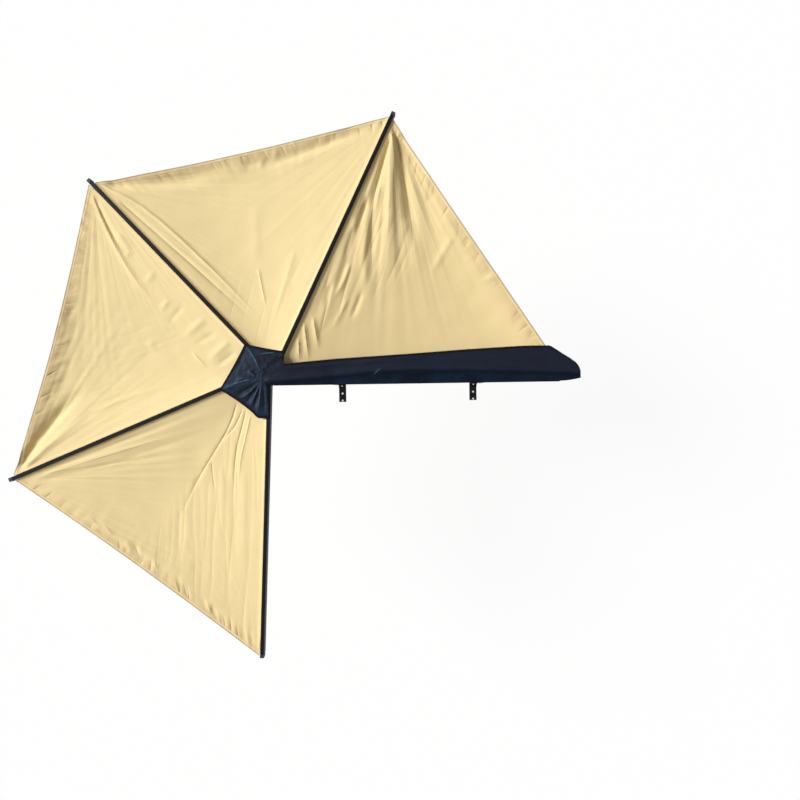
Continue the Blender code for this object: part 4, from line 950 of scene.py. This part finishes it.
cover_thickness = 0.0016
cover_stem = 0.0066
tape_thickness, tape_pitch = 0.0006, 0.004
lower_flap_depth = 0.160
zip_pitch = 0.0034
rail_top = 0.0647
rail_base = 0.0053
rail_end = 2.060
cover_start, cover_end = 0.1933, 2.054
cover_bead_y = -0.1047
flap_height = 0.0056  # of its middle surface over the rail's top
flap_edge = (
    (-14, -40), (12, 2), (47, 36), (88, 66), (116, 92), (122, 92), (127, 70), (134, 32), (481, 62),
    (1051, 93), (1437, 117), (1800, 134), (1980, 134), (1998, 131), (2084, 76), (2140, 40),
    (2175, 14), (2196, -14), (2206, -40),
)
flap_folds = (
    (26, 60, 12, -20, -84, 249, -70, 757, -22, 1204, -14, 1897, -38, 2300, -60),
    (14, 20, -3, 60, -60, 300, -30, 620, 10, 980, 30, 1400, 36),
    (12, 16, 3, 120, 4, 420, 26, 800, 50, 1120, 64),
    (14, 20, -6, 851, 62, 1282, 17, 1666, -10, 1990, -70), (9, 13, 6, 740, -66, 770, -36, 828, 16),
    (26, 22, 4, 1180, 50, 1713, 66, 2052, 40), (12, 18, 3, 1240, 30, 1560, 10, 1880, -10),
    (16, 20, -4, 1930, 110, 2010, 40, 2060, -40), (14, 18, -3, 1500, 100, 1560, 30, 1580, -40),
)


def hub_rise(x):
    """How much higher the upper flap lies near the hub, over the yoke and the folded hub cover."""
    return 0.008 * (1.0 - smooth((x - 0.385) / 0.10)) + 0.007 * (1.0 - smooth((x - 0.100) / 0.16))


def upper_flap_points(s, t):
    """The upper flap's middle surface, over the hub's rise and never below the arms' tops.

    s runs forward and t from the rail's bead to the free edge.
    """
    edge = np.array(flap_edge) / 1000.0
    x = np.interp(s, (0.0, 0.18, 1.0), (edge[0, 0], 0.142, edge[-1, 0]))
    past = np.maximum(x - rail_end, 0.0)
    back = cover_bead_y - 0.002 + 0.9 * past ** 2 + 0.034 * (1.0 - smooth((x + 0.014) / 0.045))
    y = back + (np.interp(x, edge[:, 0], edge[:, 1]) - back) * t
    plan = np.column_stack([x, y])
    depth = (y - cover_bead_y) / 0.23
    droop = 0.06 * past * t
    wave = 0.004 * np.sin(math.pi * np.clip(depth, 0.0, 1.0)) * np.sin(9.0 * x) + 0.004 * depth
    lift = sum(fold_height(plan, *fold) for fold in flap_folds)
    lift += 0.003 * ripple(*(plan * (9.0, 26.0)).T, 2.0)
    lift += 0.0009 * ripple(*(plan * (40.0, 60.0)).T, 5.0)
    body = wave - droop + lift * smooth(t / 0.06)
    body = np.where(body > 0.0, body, 0.25 * body)
    body = np.where(body > 0.009, 0.009 + 0.35 * (body - 0.009), body)
    return np.column_stack([plan, rail_top + flap_height + hub_rise(x) + body])


def lower_flap_points(s, t):
    """The lower flap's middle surface, hanging from the rail's underside."""
    x = cover_start + (cover_end - cover_start) * s
    wave = 0.007 * t * np.sin(11.0 * x) + 0.004 * t * np.sin(31.0 * x + 2.0) + 0.010 * t ** 2
    wave += 0.004 * t * ripple(x * 12.0, t * 3.0, 9.0)
    return np.column_stack([x, cover_bead_y + wave, rail_base - 0.002 - lower_flap_depth * t])


def cover_edge(name, surface, upright):
    """Binds a flap's free edge, and sews half a zip along it: the tape, then its teeth."""
    # Along the upper flap's start edge near the hub, the black binding is also a painted shadow of a
    # fold there.
    binding_width, inside = 0.009, 0.0010
    zip_depth, zip_reach, zip_thickness, zip_tape_pitch = 0.0022, 0.006, 0.0009, 0.008
    s = np.linspace(0.0, 1.0, 340)
    rim = surface(s, np.ones(len(s)))
    depth = np.linalg.norm(rim - surface(s, np.zeros(len(s))), axis=1)
    inner = surface(s, 1.0 - binding_width / depth)
    bound, out, normal, run = edge_strip(
        f"{name}_binding", tape, rim, inner, upright, inside, tape_thickness, tape_pitch)
    inner, outer = inner - normal * zip_depth, rim + out * zip_reach - normal * zip_depth
    ring = (inner, outer, outer - normal * zip_thickness, inner - normal * zip_thickness)
    zip_tape = new_object(
        f"{name}_zip_tape", *tube_body(np.stack(ring, axis=1)), tape,
        strip_cut(run, len(ring), zip_tape_pitch))
    chain = outer + out * 0.0002 - normal * 0.0005
    tooth = small_shape("zip_tooth", (0.0030, 0.0048, 0.0019), 0.8)
    teeth = repeat_along(f"{name}_zip_teeth", [chain], zip_pitch, upright, tooth, moulded)
    return [bound, zip_tape, teeth]


def cover_bead(name, z, direction):
    """The bead of a flap in the rail's groove, and the stem that leaves it."""
    centre, half = z - direction * groove_inset, cover_thickness / 2
    bead = [[(x, cover_bead_y + p, centre + q) for p, q in circle(bead_radius, 12)]
            for x in (cover_start, cover_end)]
    stem_x = np.linspace(cover_start, cover_end, 60)
    tops = cover_stem + (hub_rise(stem_x) if direction > 0 else 0.0 * stem_x)
    stems = [[(x, cover_bead_y + p, centre + direction * q) for p, q in
              ((half, 0.0), (half, top), (-half, top), (-half, 0.0))] for x, top in zip(stem_x, tops)]
    return new_object(name, *joined([tube_body(bead), tube_body(stems)]), moulded)


for name, surface, (along, across), z, direction, upright, held, flat in (
    ("upper_flap", upper_flap_points, (260, 34), rail_top, 1, sky, "laid", (2.18, 0.25)),
    ("lower_flap", lower_flap_points, (150, 18), rail_base, -1, (0.0, 1.0, 0.0), "hung", (1.865, 0.17)),
):
    s, t = np.meshgrid(np.linspace(0.0, 1.0, along), np.linspace(0.0, 1.0, across))
    table = surface(s.ravel(), t.ravel()).reshape(across, along, 3)
    points, faces = sheet_body(table, cover_thickness)
    plan, unseen = points[:, :2], np.ones(len(points))
    marks = {"seam_across": unseen, "seam_along": unseen, "bend_across": -unseen}
    marks |= crease_marks(plan, flap_folds if held == "laid" else (), 10)
    if held == "laid":
        marks["bend_across"] = np.clip(along_path(plan, flap_folds[0][3:])[0], -0.2, 0.2)
    flap_cut = points[:, :2] if held == "laid" else points[:, ::2]
    flap = new_object(name, points, faces, flap_navy, flap_cut, marks)
    trim = [cover_bead(f"{name}_bead", z, direction), *cover_edge(name, surface, upright)]
    for piece in (flap, *trim):
        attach(piece, "root")
        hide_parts(f"cover_{name}")


# The hub cover is a small tent of five navy gores over the hub's stack of knuckles. Its bound
# corners are fastened on the arms, and its felled seams and creases run to a gathered point
# beside the pin, where the fitter pulled the slack together.
cover_ties = ((139, 127), (-136, 183), (-318, -134), (26, -340))
round_corner = ((-87, -300), (-70, -320), (-52, -335), (-30, -339))
arm_4_edge = (14, -339)
yoke_corners = ((27, -101), (118, -96), (130, 34))
gather = (-22, -70)
cover_peak = 0.0808
cover_rim_z = 0.0672
patch_radius = 0.013
patch_levels = ((1.0, -0.0020), (1.0, 0.0024), (0.9, 0.0031), (0.4, 0.0036))
cover_folds = (
    (7, 9, 2.5, -130, 176, -95, 122, -60, 64, -32, 0, -24, -66),
    (8, 8, 2.5, -306, -139, -205, -91, -97, -66, -30, -70), (15, 9, -7, 132, 112, 47, 34, -8, -40),
    (12, 12, 3, 112, 126, 20, 116, -59, 108), (14, 16, -4, -150, 150, -170, 66, -205, -19),
    (18, 10, 6, -128, -2, -84, -30, -60, -62), (9, 9, 7, -110, 14, -99, -20, -92, -46),
    (8, 8, -5, -75, 20, -66, -22, -44, -54), (12, 14, 4, -226, -83, -125, -40),
    (8, 7, -4, -40, 20, -34, -20, -24, -60), (8, 18, -7, -32, -78, -127, -140, -235, -190),
    (6, 12, 8, -30, -84, -110, -158, -192, -212), (6, 12, -8, -30, -88, -92, -178, -150, -246),
    (6, 11, 8, -28, -92, -72, -186, -118, -276), (6, 11, -7, -26, -94, -56, -193, -88, -300),
    (6, 11, 7, -22, -94, -36, -193, -58, -318), (8, 17, -6, -10, -92, -4, -200, -10, -326),
    (8, 12, -2, 16, -120, 18, -200, 16, -320), (8, 12, 4, 0, -70, 40, -74, 110, -50),
    (8, 14, -3, 0, -50, 50, -20, 120, 10),
)
cover_seams = [(*start, *gather) for start in ((-134, 180), (-312, -134), (-60, -330), (134, 122))]


def ways(turn):
    """Unit steps in directions given in degrees."""
    return np.column_stack([np.cos(np.radians(turn)), np.sin(np.radians(turn))])


def rim_radius(turn, corners):
    """The distance from the pin to the cover's edge in each direction, in degrees."""
    outline = np.array(corners, float) / 1000.0
    reach = np.full(len(turn), np.nan)
    way = ways(turn)
    for a, b in zip(outline, outline[1:]):
        side = b - a
        cross = way[:, 0] * side[1] - way[:, 1] * side[0]
        r = (a[0] * side[1] - a[1] * side[0]) / cross
        share = (a[0] * way[:, 1] - a[1] * way[:, 0]) / cross
        bow = 0.10 * min(1.0, np.linalg.norm(side) / 0.25) ** 2
        bowed = r * (1.0 - bow * np.clip(share * (1.0 - share), 0.0, 0.25))
        fits = (share > -1e-6) & (share < 1.0 + 1e-6) & (r > 0)
        reach = np.where(fits & np.isnan(reach), bowed, reach)
    return reach


def hub_cover_points(turn, share, corners):
    """The hub cover's middle surface at some share of the way from the pin to the edge."""
    edge = rim_radius(turn, corners)
    plan = ways(turn) * (edge * share)[:, None]
    z = cover_peak + (cover_rim_z - cover_peak) * share ** 1.5
    from_gather = np.linalg.norm(plan - np.array(gather) / 1000.0, axis=1)
    lift = sum(fold_height(plan, *fold) for fold in cover_folds)
    lift += 0.0018 * ripple(*(plan * 30.0).T, 4.0) + 0.0008 * ripple(*(plan * 90.0).T, 8.0)
    lift += 0.003 * np.exp(-((from_gather / 0.012) ** 2))
    free = smooth(share / 0.2) * (0.15 + 0.85 * smooth((edge * (1.0 - share) - 0.012) / 0.035))
    lift = np.where(lift > 0.0, lift, 0.8 * lift) * free
    return np.column_stack([plan, np.maximum(z + lift, cover_rim_z - 0.001)])


patch = new_object("hub_cover_patch", *tube_body([
    [(x, y, cover_peak + z) for x, y in circle(patch_radius * r, 24)] for r, z in patch_levels]), tape)
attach(patch, "root")
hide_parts("hub_cover")

gore_binding_width, gore_inside, gore_tape = 0.018, 0.0014, 0.0008
shares = np.linspace(0.03, 1.0, 56)
for number, (corners, first, second, steps) in enumerate((
    ((*yoke_corners, cover_ties[0]), "root", "arm_1", 44),
    (cover_ties[:2], "arm_1", "arm_2", 40),
    (cover_ties[1:3], "arm_2", "arm_3", 64),
    ((cover_ties[2], *round_corner, arm_4_edge), "arm_3", "arm_4", 90),
    ((arm_4_edge, cover_ties[3], yoke_corners[0]), "arm_4", None, 16),
), start=1):
    low, high = (math.degrees(math.atan2(y, x)) for x, y in (corners[0], corners[-1]))
    high += 360.0 * (high < low)
    turns = np.linspace(low, high, steps)
    table = hub_cover_points(np.tile(turns, len(shares)), np.repeat(shares, steps), corners)
    table = table.reshape(len(shares), steps, 3)
    points, faces = sheet_body(table, cover_thickness)
    plan = points[:, :2]
    seams = [along_path(plan, seam) for seam in cover_seams]
    apart = np.abs([seam[0] for seam in seams])
    marks = {
        "seam_across": apart.min(axis=0),
        "seam_along": np.choose(apart.argmin(axis=0), [seam[1] for seam in seams]),
        "bend_across": -np.ones(len(points)),
    }
    marks |= crease_marks(plan, cover_folds, 40)
    gore = new_object(f"hub_cover_gore_{number}", points, faces, cover_navy, plan, marks)
    inner_shares = 1.0 - gore_binding_width / rim_radius(turns, corners)
    inner = hub_cover_points(turns, inner_shares, corners)
    bound, *_ = edge_strip(
        f"hub_cover_binding_{number}", tape, table[-1], inner, sky, gore_inside, gore_tape, tape_pitch)
    for piece in (gore, bound):
        if second:
            fan(piece, lambda r: np.full_like(r, low), lambda r: np.full_like(r, high))
        else:
            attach(piece, first)
        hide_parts("hub_cover")
    flat = [max(float(length), 0.05) for length in np.ptp(table.reshape(-1, 3)[:, :2], axis=0)]
